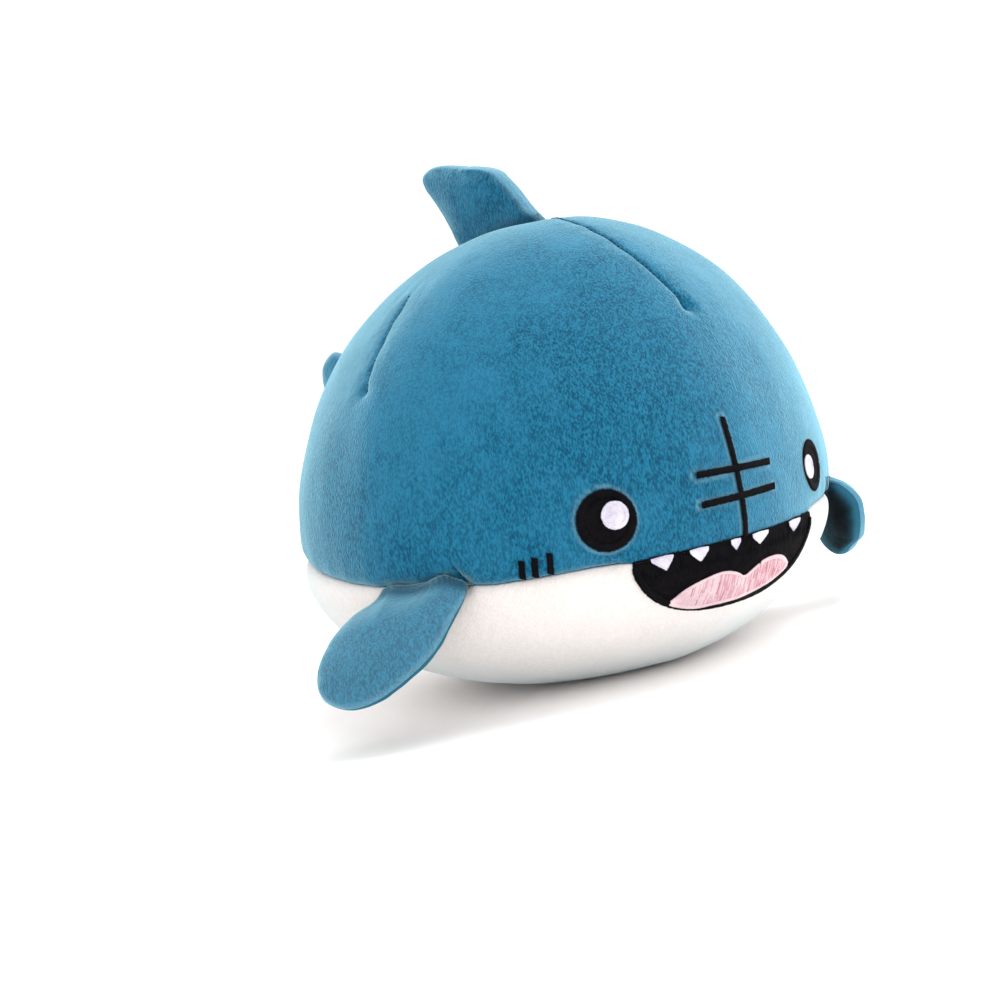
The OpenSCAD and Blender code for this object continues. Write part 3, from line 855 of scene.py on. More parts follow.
def sewn_fin(fin, wrap):
    """The two sides of a filled fin, ring by ring from the sewing line inwards, in its
    own axes. Where wrap is set, the second panel folds round the front edge, so
    that the seam lies a little way round on the first panel's side."""
    edge = fin_outline(fin)
    n = len(edge)
    r = FIN_RINGS[:, None]
    flat = fin.middle + (edge - fin.middle)[None] * r[..., None]
    height = fin_height(fin, flat, r)
    outwards = (edge - fin.middle) / np.linalg.norm(edge - fin.middle, axis=1)[:, None]
    ahead = -outwards[:, 1]
    front = smooth(0.05, 0.6, ahead) * smooth(-1 * MM, 3 * MM, edge[:, 0]) * wrap
    near_edge = soft(1 - r, 1, 0.1)
    sides = []
    for side in (1, -1):
        p = flat.copy()
        if side < 0:
            fold = np.sin(np.clip((1 - r) / 0.12, 0, 1) * math.pi) * front * FOLD_OUT
            p += outwards * fold[..., None]
        z = side * height + front * FOLD_UP * near_edge
        sides.append(np.concatenate([p, z[..., None]], 2))
    sides[0][0, :, 2] = sides[1][0, :, 2] = front * FOLD_UP
    mid = np.array([[*fin.middle, height[-1].mean()], [*fin.middle, -height[-1].mean()]])
    count = n * (2 * len(FIN_RINGS) - 1)
    points = np.concatenate([sides[0].reshape(-1, 3), sides[1][1:].reshape(-1, 3), mid])
    rings = len(FIN_RINGS)
    faces = grid_faces(rings, n)
    second = rings * n
    faces += [(j, (j + 1) % n, second + (j + 1) % n, second + j) for j in range(n)]
    faces += grid_faces(rings - 1, n, start=second, flip=True)
    last_a, last_b = (rings - 1) * n, count - n
    faces += [(count, last_a + (j + 1) % n, last_a + j) for j in range(n)]
    faces += [(count + 1, last_b + j, last_b + (j + 1) % n) for j in range(n)]
    held = np.concatenate([np.arange(0, n, 3), np.flatnonzero(points[:, 0] < 1.5 * MM)])
    after = billowed(points, faces, np.unique(held), 1.2 * MM, AIR_PRESSURE)
    sides = [after[:second].reshape(rings, n, 3),
             np.concatenate([after[:n], after[second:count]]).reshape(rings, n, 3)]
    # small gathers along the seam, and soft dents in the filling
    reach = soft(1 - r, 0.42 * MM, 0.17) * np.minimum(1, (1 - r) * 16)
    for k, side in enumerate((1, -1)):
        p = sides[k].reshape(-1, 3)
        along_edge = np.c_[np.tile(edge, (rings, 1)), np.full(len(p), side)]
        gathers = lumps(along_edge, 3.4 * MM, 11).reshape(rings, n) * reach
        dents = lumps(p + [0, 0, 0.1 * side], 12 * MM, 12).reshape(rings, n) * 0.5 * MM
        sides[k][..., 2] += side * (gathers + dents * np.minimum(1, (1 - r) * 8))
    return edge, sides, after[count:]


def fin_panel(fin, side, rings, centre, name, material):
    """One side of a fin with its lining and its sewn edge, as a closed piece."""
    n = rings.shape[1]
    thin, gap = 0.8 * MM, 0.04 * MM
    edge = rings[0].copy()
    face = rings.copy()
    face[..., 2] += side * FIN_EDGE * np.minimum(1, (1 - FIN_RINGS) * 30 + 0.15)[:, None]
    edge[:, 2] += side * gap
    lining = rings.copy()
    lining[..., :2] = fin.middle + (rings[..., :2] - fin.middle) * 0.94
    lining[..., 2] = side * np.maximum(gap, side * rings[..., 2] - thin + FIN_EDGE)
    rows = [*face[::-1], edge, *lining]
    points = np.concatenate(rows)
    ends = np.array([centre + [0, 0, side * FIN_EDGE], centre - [0, 0, side * (thin - FIN_EDGE)]])
    piece = new_piece(name, fin.place(np.concatenate([points, ends])),
                      closed_faces(len(rows), n), material)
    # painted rim highlight: the plush is painted lighter towards the sewn edge; painted shade: it
    # is painted darker in the fold at the root
    fade = soft(1 - FIN_RINGS, 1, 0.06 if material == blue_plush else 0.05)
    rim_light_by_row = np.concatenate([fade[::-1], [1], fade])
    # painted light: the flippers' upper sides are painted lighter all over, for light falling on
    # them
    flat = 0.5 if fin.is_flipper and material == blue_plush else 0
    set_attribute(piece.data, "pressed", np.r_[np.maximum(np.repeat(rim_light_by_row, n), flat), flat, flat])
    height = np.r_[points[:, 0], ends[:, 0]]
    # painted shade in the fold at the root
    set_attribute(piece.data, "painted_root_shade", 1 - smooth(1.2 * MM, 3.0 * MM, height))
    return piece


def fin_filling(fin, edge, name):
    n = len(edge)
    rows = []
    for side in (-1, 1):
        side_rows = []
        for r in FIN_RINGS[::2]:
            p = fin.middle + (edge - fin.middle) * (r * 0.86)
            p[:, 0] = np.maximum(p[:, 0], 2 * MM)
            h = np.maximum(0.1 * MM, fin_height(fin, p, r) - 1.8 * MM) * 0.8
            h = h * (1 + 0.18 * lumps(np.c_[p, np.full(n, side)], 6 * MM, 13))
            side_rows.append(np.c_[p, side * h])
        rows += side_rows[::-1] if side < 0 else side_rows
    points = np.concatenate(rows)
    mid_h = (fin_height(fin, fin.middle, 0.0) - 1.8 * MM) * 0.8
    ends = np.array([[*fin.middle, -mid_h], [*fin.middle, mid_h]])
    return new_piece(name, fin.place(np.concatenate([points, ends])),
                     closed_faces(len(rows), n), fibre)


def add_fin(fin, first, second, nodes, under=None, wrap=0.0):
    """nodes are the parts it stands for: first panel, second panel, filling, root."""
    edge, sides, centres = sewn_fin(fin, wrap)
    for k, (name, replaced) in enumerate(((first, (nodes[0], nodes[3])), (second, (nodes[1],)))):
        side = 1 - 2 * k
        dyed = under if under and k else blue_plush
        piece = fin_panel(fin, side, sides[k], centres[k], name, dyed)
        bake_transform(piece)
        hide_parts(*replaced)
    inside = fin_filling(fin, edge, fin.name + "_fibre")
    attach(inside, fin.name)
    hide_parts(nodes[2])


FLIPPER_LINE = [(1, 14), (4.5, 19.4), (11, 23.9), (19, 26.4), (25.3, 24.5), (28.4, 18),
                (27, 10.5), (22, 2.8), (16, -3.4), (9, -7.2), (0.8, -10)]
DORSAL_LINE = [(1, 18), (6, 19.5), (13, 22.3), (22, 25.6), (24.4, 21.8), (23.2, 15.5),
               (19.2, 5.8), (14.5, -4.5), (8, -10), (1, -15.5)]
TAIL_LINE = [(1, 7.5), (10, 7.8), (21, 13), (28.5, 19), (34.9, 19.4), (39.2, 13.5), (37, 7),
             (29.3, 0.9), (24.5, -4.4), (25.2, -12.4), (24.2, -21.6), (18, -25.4), (12.2, -20),
             (6.5, -11.5), (1, -7.5)]
DROOP = math.radians(55)
TURN = math.radians(-31)
flipper_out = (math.cos(DROOP) * math.cos(TURN), math.cos(DROOP) * math.sin(TURN),
               -math.sin(DROOP))
DORSAL_SLOPE = math.radians(12.7)
TAIL_TILT = math.radians(17)

# painted shade: near-black flipper undersides; its painted light colour is a teal rim light along
# the edges
painted_shade_plush = plush("painted_shade_plush", (0.001, 0.002, 0.003), (0.003, 0.005, 0.007),
                   (0.004, 0.008, 0.011), (0.022, 0.125, 0.195), 0.95, (0.12, 0.55, 0.75),
                   0.7, 0.24)

right_flipper = Fin("right_flipper", "right_flipper_flap",
                    (-flipper_out[0], flipper_out[1], flipper_out[2]), (0, 0, 1),
                    FLIPPER_LINE, (14, 9), 5.8 * MM, ROOT_IN)
left_flipper = Fin("left_flipper", "left_flipper_flap", flipper_out, (0, 0, 1),
                   FLIPPER_LINE, (14, 9), 5.8 * MM, ROOT_IN, math.radians(27), 0.88)
dorsal_fin = Fin("dorsal_fin", "dorsal_fin_flop",
                 (0, math.sin(DORSAL_SLOPE), math.cos(DORSAL_SLOPE)), (-1, 0, 0),
                 DORSAL_LINE, (12, 9), 4.8 * MM, 8 * MM)
tail = Fin("tail", "tail_wag", (0, math.cos(TAIL_TILT), math.sin(TAIL_TILT)), (-1, 0, 0),
           TAIL_LINE, (17, -2), 4.8 * MM, 7 * MM)

for flipper, fold in ((right_flipper, 0.0), (left_flipper, 1.7)):
    add_fin(flipper, flipper.name + "_top_side", flipper.name + "_under_side",
            [flipper.name + end for end in ("_upper_panel", "_lower_panel", "_stuffing", "_root")],
            under=painted_shade_plush, wrap=fold)
add_fin(dorsal_fin, "dorsal_fin_right_side", "dorsal_fin_left_side",
        ("dorsal_fin_right_panel", "dorsal_fin_left_panel", "dorsal_fin_stuffing",
         "dorsal_fin_root"), wrap=1.0)
add_fin(tail, "tail_right_side", "tail_left_side",
        ("tail_right_panel", "tail_left_panel", "tail_stuffing", "tail_root"))

# ---------------------------------------------------------------------------
# Embroidery. Satin and filling stitches of rayon thread, worked straight onto
# the plush before the panels are sewn together. Every stitch is a real thread.
# ---------------------------------------------------------------------------


def thread_material(name, colour, dark, rough=0.5, shine=0.2):
    material, tree, shader = new_material(name, {"Roughness": rough, "Specular IOR Level": shine})
    coords = tree.nodes.new("ShaderNodeTexCoord").outputs["Object"]
    fibres = noise_node(tree, coords, 2600, 2, 0.6)
    both = blend_of(tree, fibres, 0.4, noise_node(tree, coords, 240, 2))
    tree.links.new(mixed_colour(tree, mapped(tree, both, 0.36, 0.64, 0, 1), dark, colour),
                   shader.inputs["Base Color"])
    add_bump(tree, shader, fibres, 0.3, 0.1 * MM)
    return material


black_thread = thread_material("black_thread", (0.006, 0.005, 0.006), (0.002, 0.002, 0.003),
                               0.7, 0.05)
olive_thread = thread_material("olive_thread", (0.075, 0.068, 0.048), (0.03, 0.028, 0.02),
                               0.5, 0.15)
white_thread = thread_material("white_thread", (0.82, 0.80, 0.85), (0.58, 0.53, 0.66))
pink_thread = thread_material("pink_thread", (0.72, 0.42, 0.47), (0.60, 0.30, 0.36))
rose_thread = thread_material("rose_thread", (0.60, 0.29, 0.32), (0.46, 0.18, 0.21))
pale_pink_thread = thread_material("pale_pink_thread", (0.80, 0.66, 0.68), (0.70, 0.47, 0.52))
blue_thread = thread_material("blue_thread", (0.02, 0.11, 0.18), (0.01, 0.06, 0.11))


def stitch_tree():
    """Geometry nodes that lay one plump, tapered thread on every point: along
    says which way it runs, out which way is off the cloth, and span how long it is."""
    tree = bpy.data.node_groups.new("stitches", "GeometryNodeTree")
    face = tree.interface
    for name, kind, value in (("Geometry", "Geometry", None), ("Thread Width", "Float", 0.5 * MM),
                              ("Plumpness", "Float", 0.8), ("Unevenness", "Float", 0.1),
                              ("Seed", "Int", 1), ("Thread", "Material", None)):
        socket = face.new_socket(name, in_out="INPUT", socket_type="NodeSocket" + kind)
        if value is not None:
            socket.default_value = value
    face.new_socket("Geometry", in_out="OUTPUT", socket_type="NodeSocketGeometry")
    asked = tree.nodes.new("NodeGroupInput").outputs

    def add(kind, given, output=None, **settings):
        made = new_node(tree, kind, given, **settings).outputs
        return made[output] if output is not None else made[0]

    def arithmetic(kind, a, b=0.5):
        return math_node(tree, kind, a, b)

    def named(kind, name):
        return add("GeometryNodeInputNamedAttribute", {"Name": name}, "Attribute", data_type=kind)

    # one stitch, 1 long and 1 wide: it dips and narrows towards both ends
    line = add("GeometryNodeCurvePrimitiveLine", {"Start": (-0.5, 0, 0), "End": (0.5, 0, 0)})
    cut = add("GeometryNodeResampleCurve", {"Curve": line, "Count": 6})
    place = add("GeometryNodeInputPosition", {})
    sideways = add("ShaderNodeSeparateXYZ", {"Vector": place}, "X")
    end_share = arithmetic("MULTIPLY", arithmetic("ABSOLUTE", sideways), 2)
    bow = arithmetic("SUBTRACT", 1, arithmetic("POWER", end_share, 4))
    taper = arithmetic("MAXIMUM", arithmetic("SQRT", bow), 0.25)
    dip = arithmetic("MULTIPLY", arithmetic("SUBTRACT", bow, 1), 0.5)
    narrowed = add("GeometryNodeSetCurveRadius", {"Curve": cut, "Radius": taper})
    arch = add("GeometryNodeSetPosition",
               {"Geometry": narrowed, "Offset": add("ShaderNodeCombineXYZ", {"Z": dip})})
    ring = add("GeometryNodeCurvePrimitiveCircle", {"Resolution": 6, "Radius": 0.5})
    tube = add("GeometryNodeCurveToMesh", {"Curve": arch, "Profile Curve": ring, "Fill Caps": True,
                                           "Scale": add("GeometryNodeInputRadius", {})})

    # one copy of it on every point, turned and stretched to fit
    uneven = add("FunctionNodeRandomValue",
                 {2: arithmetic("SUBTRACT", 1, asked["Unevenness"]),
                  3: arithmetic("ADD", 1, asked["Unevenness"]), "Seed": asked["Seed"]},
                 1, data_type="FLOAT")
    width = arithmetic("MULTIPLY", asked["Thread Width"], uneven)
    size = add("ShaderNodeCombineXYZ", {"X": named("FLOAT", "span"), "Y": width,
                                        "Z": arithmetic("MULTIPLY", width, asked["Plumpness"])})
    turn = add("FunctionNodeAxesToRotation",
               {"Primary Axis": named("FLOAT_VECTOR", "along"),
                "Secondary Axis": named("FLOAT_VECTOR", "out")},
               primary_axis="X", secondary_axis="Z")
    laid = add("GeometryNodeInstanceOnPoints", {"Points": asked["Geometry"], "Instance": tube,
                                                "Rotation": turn, "Scale": size})
    real = add("GeometryNodeRealizeInstances", {"Geometry": laid})
    shade = add("GeometryNodeSetShadeSmooth", {"Geometry": real})
    dye = add("GeometryNodeSetMaterial", {"Geometry": shade, "Material": asked["Thread"]})
    new_node(tree, "NodeGroupOutput", {"Geometry": dye})
    return tree


stitches_tree = stitch_tree()


def set_input(modifier, name, value):
    found = next(s for s in stitches_tree.interface.items_tree
                 if s.name == name and s.in_out == "INPUT")
    modifier[found.identifier] = value


THREAD_W = 0.42 * MM


def sew(name, stitches, width, thread, plumpness, unevenness, seed):
    """stitches are (start, end, out) of every stitch. Returns one mesh of threads."""
    start, end, out = (np.array([stitch[i] for stitch in stitches]) for i in range(3))
    span = np.linalg.norm(end - start, axis=1)
    mesh = bpy.data.meshes.new(name + "_points")
    mesh.from_pydata([tuple(p) for p in (start + end) / 2], [], [])
    for label, kind, values in (("along", "FLOAT_VECTOR", (end - start) / span[:, None]),
                                ("out", "FLOAT_VECTOR", out), ("span", "FLOAT", span)):
        set_attribute(mesh, label, values, kind)
    holder = placed(name + "_points", mesh)
    modifier = holder.modifiers.new("stitches", "NODES")
    modifier.node_group = stitches_tree
    for label, value in (("Thread Width", width), ("Plumpness", plumpness),
                         ("Unevenness", unevenness), ("Seed", seed), ("Thread", thread)):
        set_input(modifier, label, value)
    bpy.context.view_layer.update()
    settled = holder.evaluated_get(bpy.context.evaluated_depsgraph_get())
    made = bpy.data.meshes.new_from_object(settled)
    bpy.data.objects.remove(holder)
    for label in ("along", "out", "span"):
        if label in made.attributes:
            made.attributes.remove(made.attributes[label])
    made.name = name
    return placed(name, made)


def skin_tree(*pieces):
    points, faces = [], []
    for piece in pieces:
        base = len(points)
        points += [v.co.copy() for v in piece.data.vertices]
        faces += [tuple(i + base for i in p.vertices) for p in piece.data.polygons]
    return BVHTree.FromPolygons(points, faces)


skin = skin_tree(top, belly)
body_middle = Vector((0, 0, WIDEST_Z))


def on_skin(point, lift):
    """The place on the sewn body over a point, lift off the pile, and its out direction."""
    outside = Vector(onto_body(point, 6 * MM))
    hit = skin.ray_cast(outside, body_middle - outside)
    flat_out = outward_of(onto_body(np.array([point])))[0]
    return np.array(hit[0]) + flat_out * lift, flat_out


def laid_stitch(a, b, lift):
    (start, out_a), (end, out_b) = on_skin(a, lift), on_skin(b, lift)
    return start, end, (out_a + out_b) / 2


def filled_rows(rows, longest, rng, to_body, lift):
    """Brick-laid stitches in rows. A row is (u, low v, high v)."""
    found = []
    for k, (u, low, high) in enumerate(rows):
        if high - low < 0.4 * MM:
            continue
        count = max(1, round((high - low) / longest))
        step = (high - low) / count
        cuts = [low] + [low + step * (i + 0.5 + 0.5 * (k % 2) + rng.uniform(-0.12, 0.12))
                        for i in range(count - 1)] + [high]
        cuts = sorted(c for c in cuts if low <= c <= high)
        for a, b in zip(cuts[:-1], cuts[1:]):
            if b - a > 0.3 * MM:
                found.append(laid_stitch(to_body(u, a), to_body(u, b), lift))
    return found


def satin_run(path, width, spacing, rng, lift, slant=0.0):
    """Short stitches side by side across a path on the body."""
    path = np.asarray(path)
    steps = np.linalg.norm(np.diff(path, axis=0), axis=1)
    total = steps.sum()
    at = np.concatenate([[0], np.cumsum(steps)])
    found = []
    for s in np.arange(spacing / 2, total, spacing):
        p = np.array([np.interp(s, at, path[:, i]) for i in range(3)])
        ahead, behind = (np.array([np.interp(np.clip(s + step, 0, total), at, path[:, i])
                                   for i in range(3)]) for step in (0.3 * MM, -0.3 * MM))
        along = (ahead - behind) / np.linalg.norm(ahead - behind)
        out = outward_of(onto_body(p[None]))[0]
        side = np.cross(out, along)
        side /= np.linalg.norm(side)
        half = width / 2 * (1 + rng.uniform(-0.1, 0.1))
        lean = along * slant * width / 2
        found.append(laid_stitch(p - side * half - lean, p + side * half + lean, lift))
    return found


def finish_thread(piece, node):
    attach(piece, "body")
    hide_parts(node)


def embroider(name, node, stitches, thread, seed, plumpness=0.9, unevenness=0.12):
    """One piece that is nothing but stitches of one thread."""
    finish_thread(sew(name, stitches, THREAD_W, thread, plumpness, unevenness, seed), node)


BACKING_LOW = -0.25 * MM     # the patches under the stitches reach into the pile


def backing(name, rings, material, lift):
    """A thin closed patch under the stitches. rings go from the middle outwards."""
    centre, others = rings[0], rings[1:]
    upper = [[on_skin(p, lift)[0] for p in ring] for ring in others]
    under = [[on_skin(p, BACKING_LOW)[0] for p in ring] for ring in others]
    rows = upper + under[::-1]
    points = [p for row in rows for p in row]
    points += [on_skin(centre, lift)[0], on_skin(centre, BACKING_LOW)[0]]
    return new_piece(name, np.array(points), closed_faces(len(rows), len(rings[1])), material)


def joined(name, *pieces):
    """Several meshes as one piece, keeping their materials."""
    bm = bmesh.new()
    materials = []
    for piece in pieces:
        start = len(bm.faces)
        bm.from_mesh(piece.data)
        bm.faces.ensure_lookup_table()
        for face in bm.faces[start:]:
            used = piece.data.materials[face.material_index]
            if used not in materials:
                materials.append(used)
            face.material_index = materials.index(used)
        bpy.data.objects.remove(piece)
    mesh = bpy.data.meshes.new(name)
    bm.to_mesh(mesh)
    bm.free()
    for material in materials:
        mesh.materials.append(material)
    return placed(name, mesh)


# Eyes: a filled black disc, a satin ring round it and a white highlight

RING_W = 1.8 * MM


def eye_frame(side):
    centre = face_point(side * EYE_X, EYE_Z)
    out = outward_of(centre[None])[0]
    across = np.cross([0, 0, 1], out)
    across /= np.linalg.norm(across)
    up = np.cross(out, across)
    return centre, across, up


def disc_rows(radius, spacing, centre=(0, 0)):
    rows = []
    for u in np.arange(-radius + spacing / 2, radius, spacing):
        half = math.sqrt(max(0, radius ** 2 - u ** 2))
        rows.append((centre[0] + u, centre[1] - half, centre[1] + half))
    return rows


def circle(centre, across, up, radius, steps, middle=(0, 0)):
    return [centre + across * (middle[0] + radius * math.cos(a))
            + up * (middle[1] + radius * math.sin(a))
            for a in np.arange(steps + 1) * 2 * math.pi / steps]


def add_eye(name, side, radius, spot, spot_r, seed):
    """spot is the middle of the highlight, sideways and up from the eye's."""
    rng = random.Random(seed)
    centre, across, up = eye_frame(side)

    def upright(u, v):
        return centre + across * u + up * v

    fill_r = radius - RING_W
    fill = filled_rows(disc_rows(fill_r - 0.3 * MM, 0.3 * MM), 3.6 * MM, rng, upright, 0.3 * MM)
    rings = [circle(centre, across, up, r, 48)[:-1]
             for r in (2 * MM, 4 * MM, radius - 1.6 * MM, radius - 0.3 * MM)]
    base = backing(name + "_base", [centre] + rings, olive_thread, 0.1 * MM)
    threads = sew(name + "_fill", fill, THREAD_W, black_thread, 0.8, 0.14, seed)
    finish_thread(joined(name + "_fill_thread", base, threads), name + "_fill")
    ring_path = circle(centre, across, up, radius - RING_W / 2, 120)
    ring = satin_run(ring_path, RING_W, 0.3 * MM, rng, 0.42 * MM, 0.15)
    embroider(name + "_border_thread", name + "_border", ring, black_thread,
              seed + 1)
    # the highlight's rows run level, so they take their two places the other way round
    rows = disc_rows(spot_r - 0.5 * MM, 0.3 * MM, (spot[1], spot[0]))
    white = filled_rows(rows, 2.4 * MM, rng, lambda v, u: upright(u, v), 0.62 * MM)
    rim_path = circle(centre, across, up, spot_r - 0.45 * MM, 60, spot)
    white += satin_run(rim_path, 0.9 * MM, 0.3 * MM, rng, 0.72 * MM, 0.1)
    embroider(name + "_highlight_thread", name + "_highlight", white, white_thread,
              seed + 2)


add_eye("right_eye", -1, EYE_R, (2.2 * MM, 0.9 * MM), 3.45 * MM, 11)
add_eye("left_eye", 1, LEFT_EYE_R, (-3.8 * MM, 0.1 * MM), 3.05 * MM, 21)

# Mouth: black filling stitches, a satin outline, white teeth and a pink tongue

MOUTH_LINE = 1.7 * MM


def face_patch(name, columns, levels, lift, material):
    """A thin closed patch on the face. A column is (x, low z, high z)."""
    over, under = [], []
    for x, low, high in columns:
        for k in range(levels + 1):
            p = face_point(x, low + (high - low) * k / levels)
            over.append(on_skin(p, lift)[0])
            under.append(on_skin(p, BACKING_LOW)[0])
    n, count = levels + 1, len(over)
    last = len(columns) - 1
    inner = [i * n + k for i in range(last) for k in range(levels)]
    faces = [(a, a + n, a + n + 1, a + 1) for a in inner]
    faces += [(count + a, count + a + 1, count + a + n + 1, count + a + n) for a in inner]
    faces += [(a, a + n, count + a + n, count + a)
              for a in (i * n + k for i in range(last) for k in (0, levels))]
    faces += [(a, a + 1, count + a + 1, count + a)
              for a in (i * n + k for i in (0, last) for k in range(levels))]
    return new_piece(name, np.array(over + under), faces, material)


def add_mouth():
    rng = random.Random(31)
    rows = [(x, float(mouth_low(x, 0.4 * MM)), MOUTH_TOP + 0.4 * MM)
            for x in np.arange(-MOUTH_HALF + 0.5 * MM, MOUTH_HALF, 0.33 * MM)]
    fill = filled_rows(rows, 3.8 * MM, rng, face_point, 0.32 * MM)
    x = (MOUTH_HALF - 0.3 * MM) * np.sin(np.linspace(-math.pi / 2, math.pi / 2, 91))
    columns = [(a, float(mouth_low(a, 0.3 * MM)), MOUTH_TOP + 0.5 * MM) for a in x[1:-1]]
    base = face_patch("mouth_base", columns, 34, 0.22 * MM, black_thread)
    threads = sew("mouth_fill_part", fill, THREAD_W, black_thread, 0.7, 0.14, 31)
    finish_thread(joined("mouth_fill_thread", base, threads), "mouth_fill")

    half = MOUTH_LINE / 2
    x = (MOUTH_HALF - half) * np.sin(np.linspace(-math.pi / 2, math.pi / 2, 120))
    bow = face_point(x, np.minimum(mouth_low(x, half), MOUTH_TOP))
    outline = satin_run(bow, MOUTH_LINE, 0.28 * MM, rng, 0.55 * MM, 0.1)
    embroider("mouth_outline_thread", "mouth_outline", outline, black_thread, 32)


# Left end, tip and right end of each tooth, and how far it hangs down, in mm
TEETH = [(-28.3, -24, -22.1, 2.6), (-18, -14.8, -12.1, 2.4), (-5.8, -4, -2.2, 1.8),
         (1.5, 4.3, 8.3, 2), (17.6, 20, 24.3, 2)]


def add_teeth():
    rng = random.Random(41)
    stitches = []
    for left, tip, right, drop in TEETH:
        for x in np.arange(left + 0.15, right, 0.28):
            reach = (x - left) / (tip - left) if x < tip else (right - x) / (right - tip)
            reach = drop * min(1, reach ** 0.85 * 1.04) - rng.uniform(0, 0.12)
            if reach < 0.2:
                continue
            top_end = face_point(x * MM, MOUTH_TOP + 0.55 * MM)
            low_end = face_point((x + (tip - x) * 0.08) * MM, MOUTH_TOP - reach * MM)
            stitches.append(laid_stitch(top_end, low_end, 0.95 * MM))
    embroider("teeth_thread", "teeth", stitches, white_thread, 41, 0.9, 0.1)


# The tongue's two lobes meet in a notch at the top: x, low z and high z, in mm
TONGUE = [(-20.6, -17.8, -17), (-19.5, -18.4, -16.3), (-17.4, -19.2, -14.9), (-14.7, -20, -13.9),
          (-11.3, -20.6, -13.1), (-7.6, -20.7, -12.6), (-4.6, -20.8, -12.9), (-1.4, -20.8, -14),
          (0.3, -20.8, -15), (2, -20.7, -14.9), (5.2, -20.4, -13.5), (8.7, -20, -12.6),
          (12.8, -19.4, -12.6), (16.2, -18.5, -13.4), (18.6, -17.6, -14.8), (19.9, -16.9, -15.9)]


def add_tongue():
    rng = random.Random(51)
    shape = spline((np.array(TONGUE) - [0.7, 0, 0]) * MM, 10)
    low_line, high_line = shape[:, (0, 1)], shape[:, (0, 2)]
    inset = 0.55 * MM
    left_end, right_end = shape[0, 0] + inset, shape[-1, 0] - inset

    def low_at(x):
        return float(np.interp(x, shape[:, 0], shape[:, 1])) + inset

    def high_at(x):
        return float(np.interp(x, shape[:, 0], shape[:, 2])) - inset

    columns, rows = ([(x, low_at(x), high_at(x)) for x in places]
                     for places in (np.linspace(left_end, right_end, 80),
                                    np.arange(left_end, right_end, 0.33 * MM)))
    parts = [face_patch("tongue_base", columns, 12, 0.5 * MM, rose_thread)]
    fill = filled_rows(rows, 2.4 * MM, rng, face_point, 0.66 * MM)
    dyed = {pale_pink_thread: [], pink_thread: [], rose_thread: []}
    for stitch in fill:
        x = (stitch[0][0] + stitch[1][0]) / 2 / MM
        pale = 0.97 - 0.045 * (x + 17) if x < -3 else 0.3
        deep = 0.22 if x > 3 else 0.03
        draw = rng.random()
        thread = (pale_pink_thread if draw < pale
                  else rose_thread if draw < pale + deep else pink_thread)
        dyed[thread].append(stitch)
    for k, (thread, stitches) in enumerate(dyed.items()):
        parts.append(sew("tongue_fill", stitches, THREAD_W, thread, 0.9, 0.14, 51 + k))
    inner_low = low_line[2:-2] + [0, inset * 0.6]
    inner_high = high_line[2:-2] - [0, inset * 0.6]
    tip = np.array([[shape[-1, 0] - inset * 0.6, (shape[-1, 1] + shape[-1, 2]) / 2]])
    rim = face_point(*np.concatenate([inner_low, tip, inner_high[:-46:-1]]).T)
    far = face_point(*inner_high[:-45].T)
    for k, (line, width, lift) in enumerate(((rim, 0.95 * MM, 0.74 * MM),
                                             (far, 0.7 * MM, 0.72 * MM))):
        run = satin_run(line, width, 0.28 * MM, rng, lift, 0.2)
        parts.append(sew("tongue_rim", run, THREAD_W, pale_pink_thread, 0.9, 0.12, 55 + k))
    finish_thread(joined("tongue_thread", *parts), "tongue")


add_mouth()
add_teeth()
add_tongue()

# Gills and scar: single satin lines

GILLS = [(49.9, 1), (52.9, 0.5), (55.4, 0.3)]      # place beside the nose and top end


def add_gills(name, node, side, seed, width, lift):
    rng = random.Random(seed)
    stitches = []
    for x, z in GILLS:
        low_end = (side * (x + 0.4) * MM, SEAM_FRONT_Z + 0.6 * MM)
        path = face_line((side * x * MM, z * MM), low_end)
        stitches += satin_run(path, width, 0.3 * MM, rng, lift, 0.2)
    embroider(name, node, stitches, black_thread, seed, 0.9, 0.1)


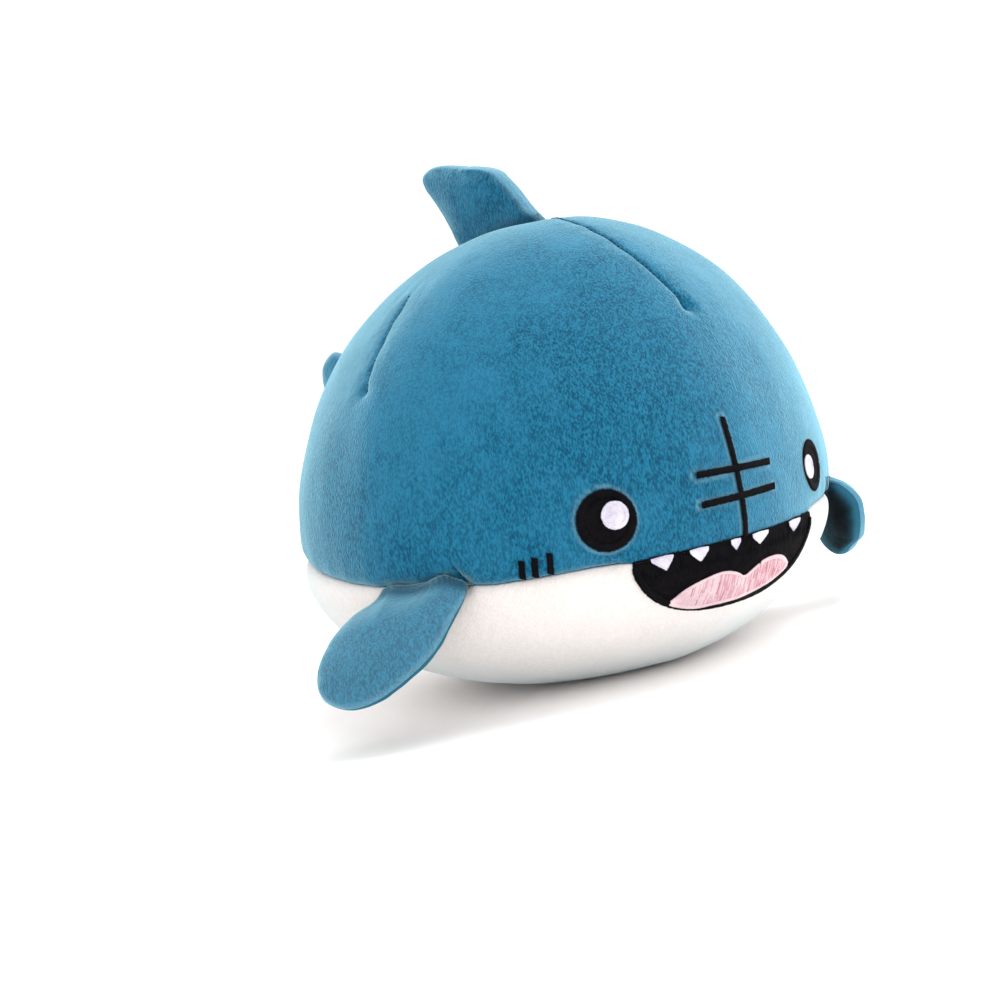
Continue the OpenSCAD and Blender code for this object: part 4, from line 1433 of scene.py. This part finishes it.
def add_scar():
    rng = random.Random(81)
    stitches = satin_run(SCAR_LINES[0], LINE_W, 0.28 * MM, rng, 0.5 * MM, 0.2)
    for bar in SCAR_LINES[1:]:
        stitches += satin_run(bar, LINE_W, 0.28 * MM, rng, 0.62 * MM, 0.2)
    embroider("scar_thread", "scar_stitches", stitches, black_thread, 81, 0.9, 0.1)


add_gills("right_gill_thread", "right_gill_stitches", -1, 61, 1.4 * MM, 0.4 * MM)
add_gills("left_gill_thread", "left_gill_stitches", 1, 71, 0.9 * MM, 0.0)
add_scar()

# ---------------------------------------------------------------------------
# Seam threads. Fine blue thread closes the darts from outside, joins the body
# panels inside the seam, and closes the gap under the tail by hand.
# ---------------------------------------------------------------------------


def add_dart(name, node, path, seed):
    stitches = satin_run(path[2:], 0.9 * MM, 1.4 * MM, random.Random(seed), 0.1 * MM, 0.5)
    finish_thread(sew(name, stitches, 0.32 * MM, blue_thread, 0.9, 0.15, seed), node)


add_dart("front_dart_thread", "front_dart_stitches", FRONT_DART, 91)
add_dart("right_dart_thread", "right_dart_stitches", SIDE_DARTS[0], 92)
add_dart("left_dart_thread", "left_dart_stitches", SIDE_DARTS[1], 93)


def add_closing():
    z = WIDEST_Z + float(seam_height(REAR_LEN))
    stitches = [laid_stitch(np.array([x, REAR_LEN, z - 1.5 * MM]),
                            np.array([x + 0.8 * MM, REAR_LEN, z + 1.5 * MM]), 0.15 * MM)
                for x in np.linspace(-22, 22, 17) * MM]
    finish_thread(sew("closing_thread", stitches, 0.35 * MM, blue_thread, 0.9, 0.15, 95),
                  "closing_stitches")


def add_seam_thread():
    """One run of stitches along the turned edges, each a little over the next."""
    lon = np.arange(300) * 2 * math.pi / 300
    low = body_point(lon, seam_lat(lon), -FILLING_IN)
    following = np.roll(low, -1, axis=0)
    up = np.array([0, 0, 1.0])
    stitches = [(a, b + (b - a) * 0.1, up) for a, b in zip(low, following)]
    finish_thread(sew("body_seam_inner_thread", stitches, 0.4 * MM, blue_thread, 1.0, 0.05, 97),
                  "body_seam_thread")


add_closing()
add_seam_thread()
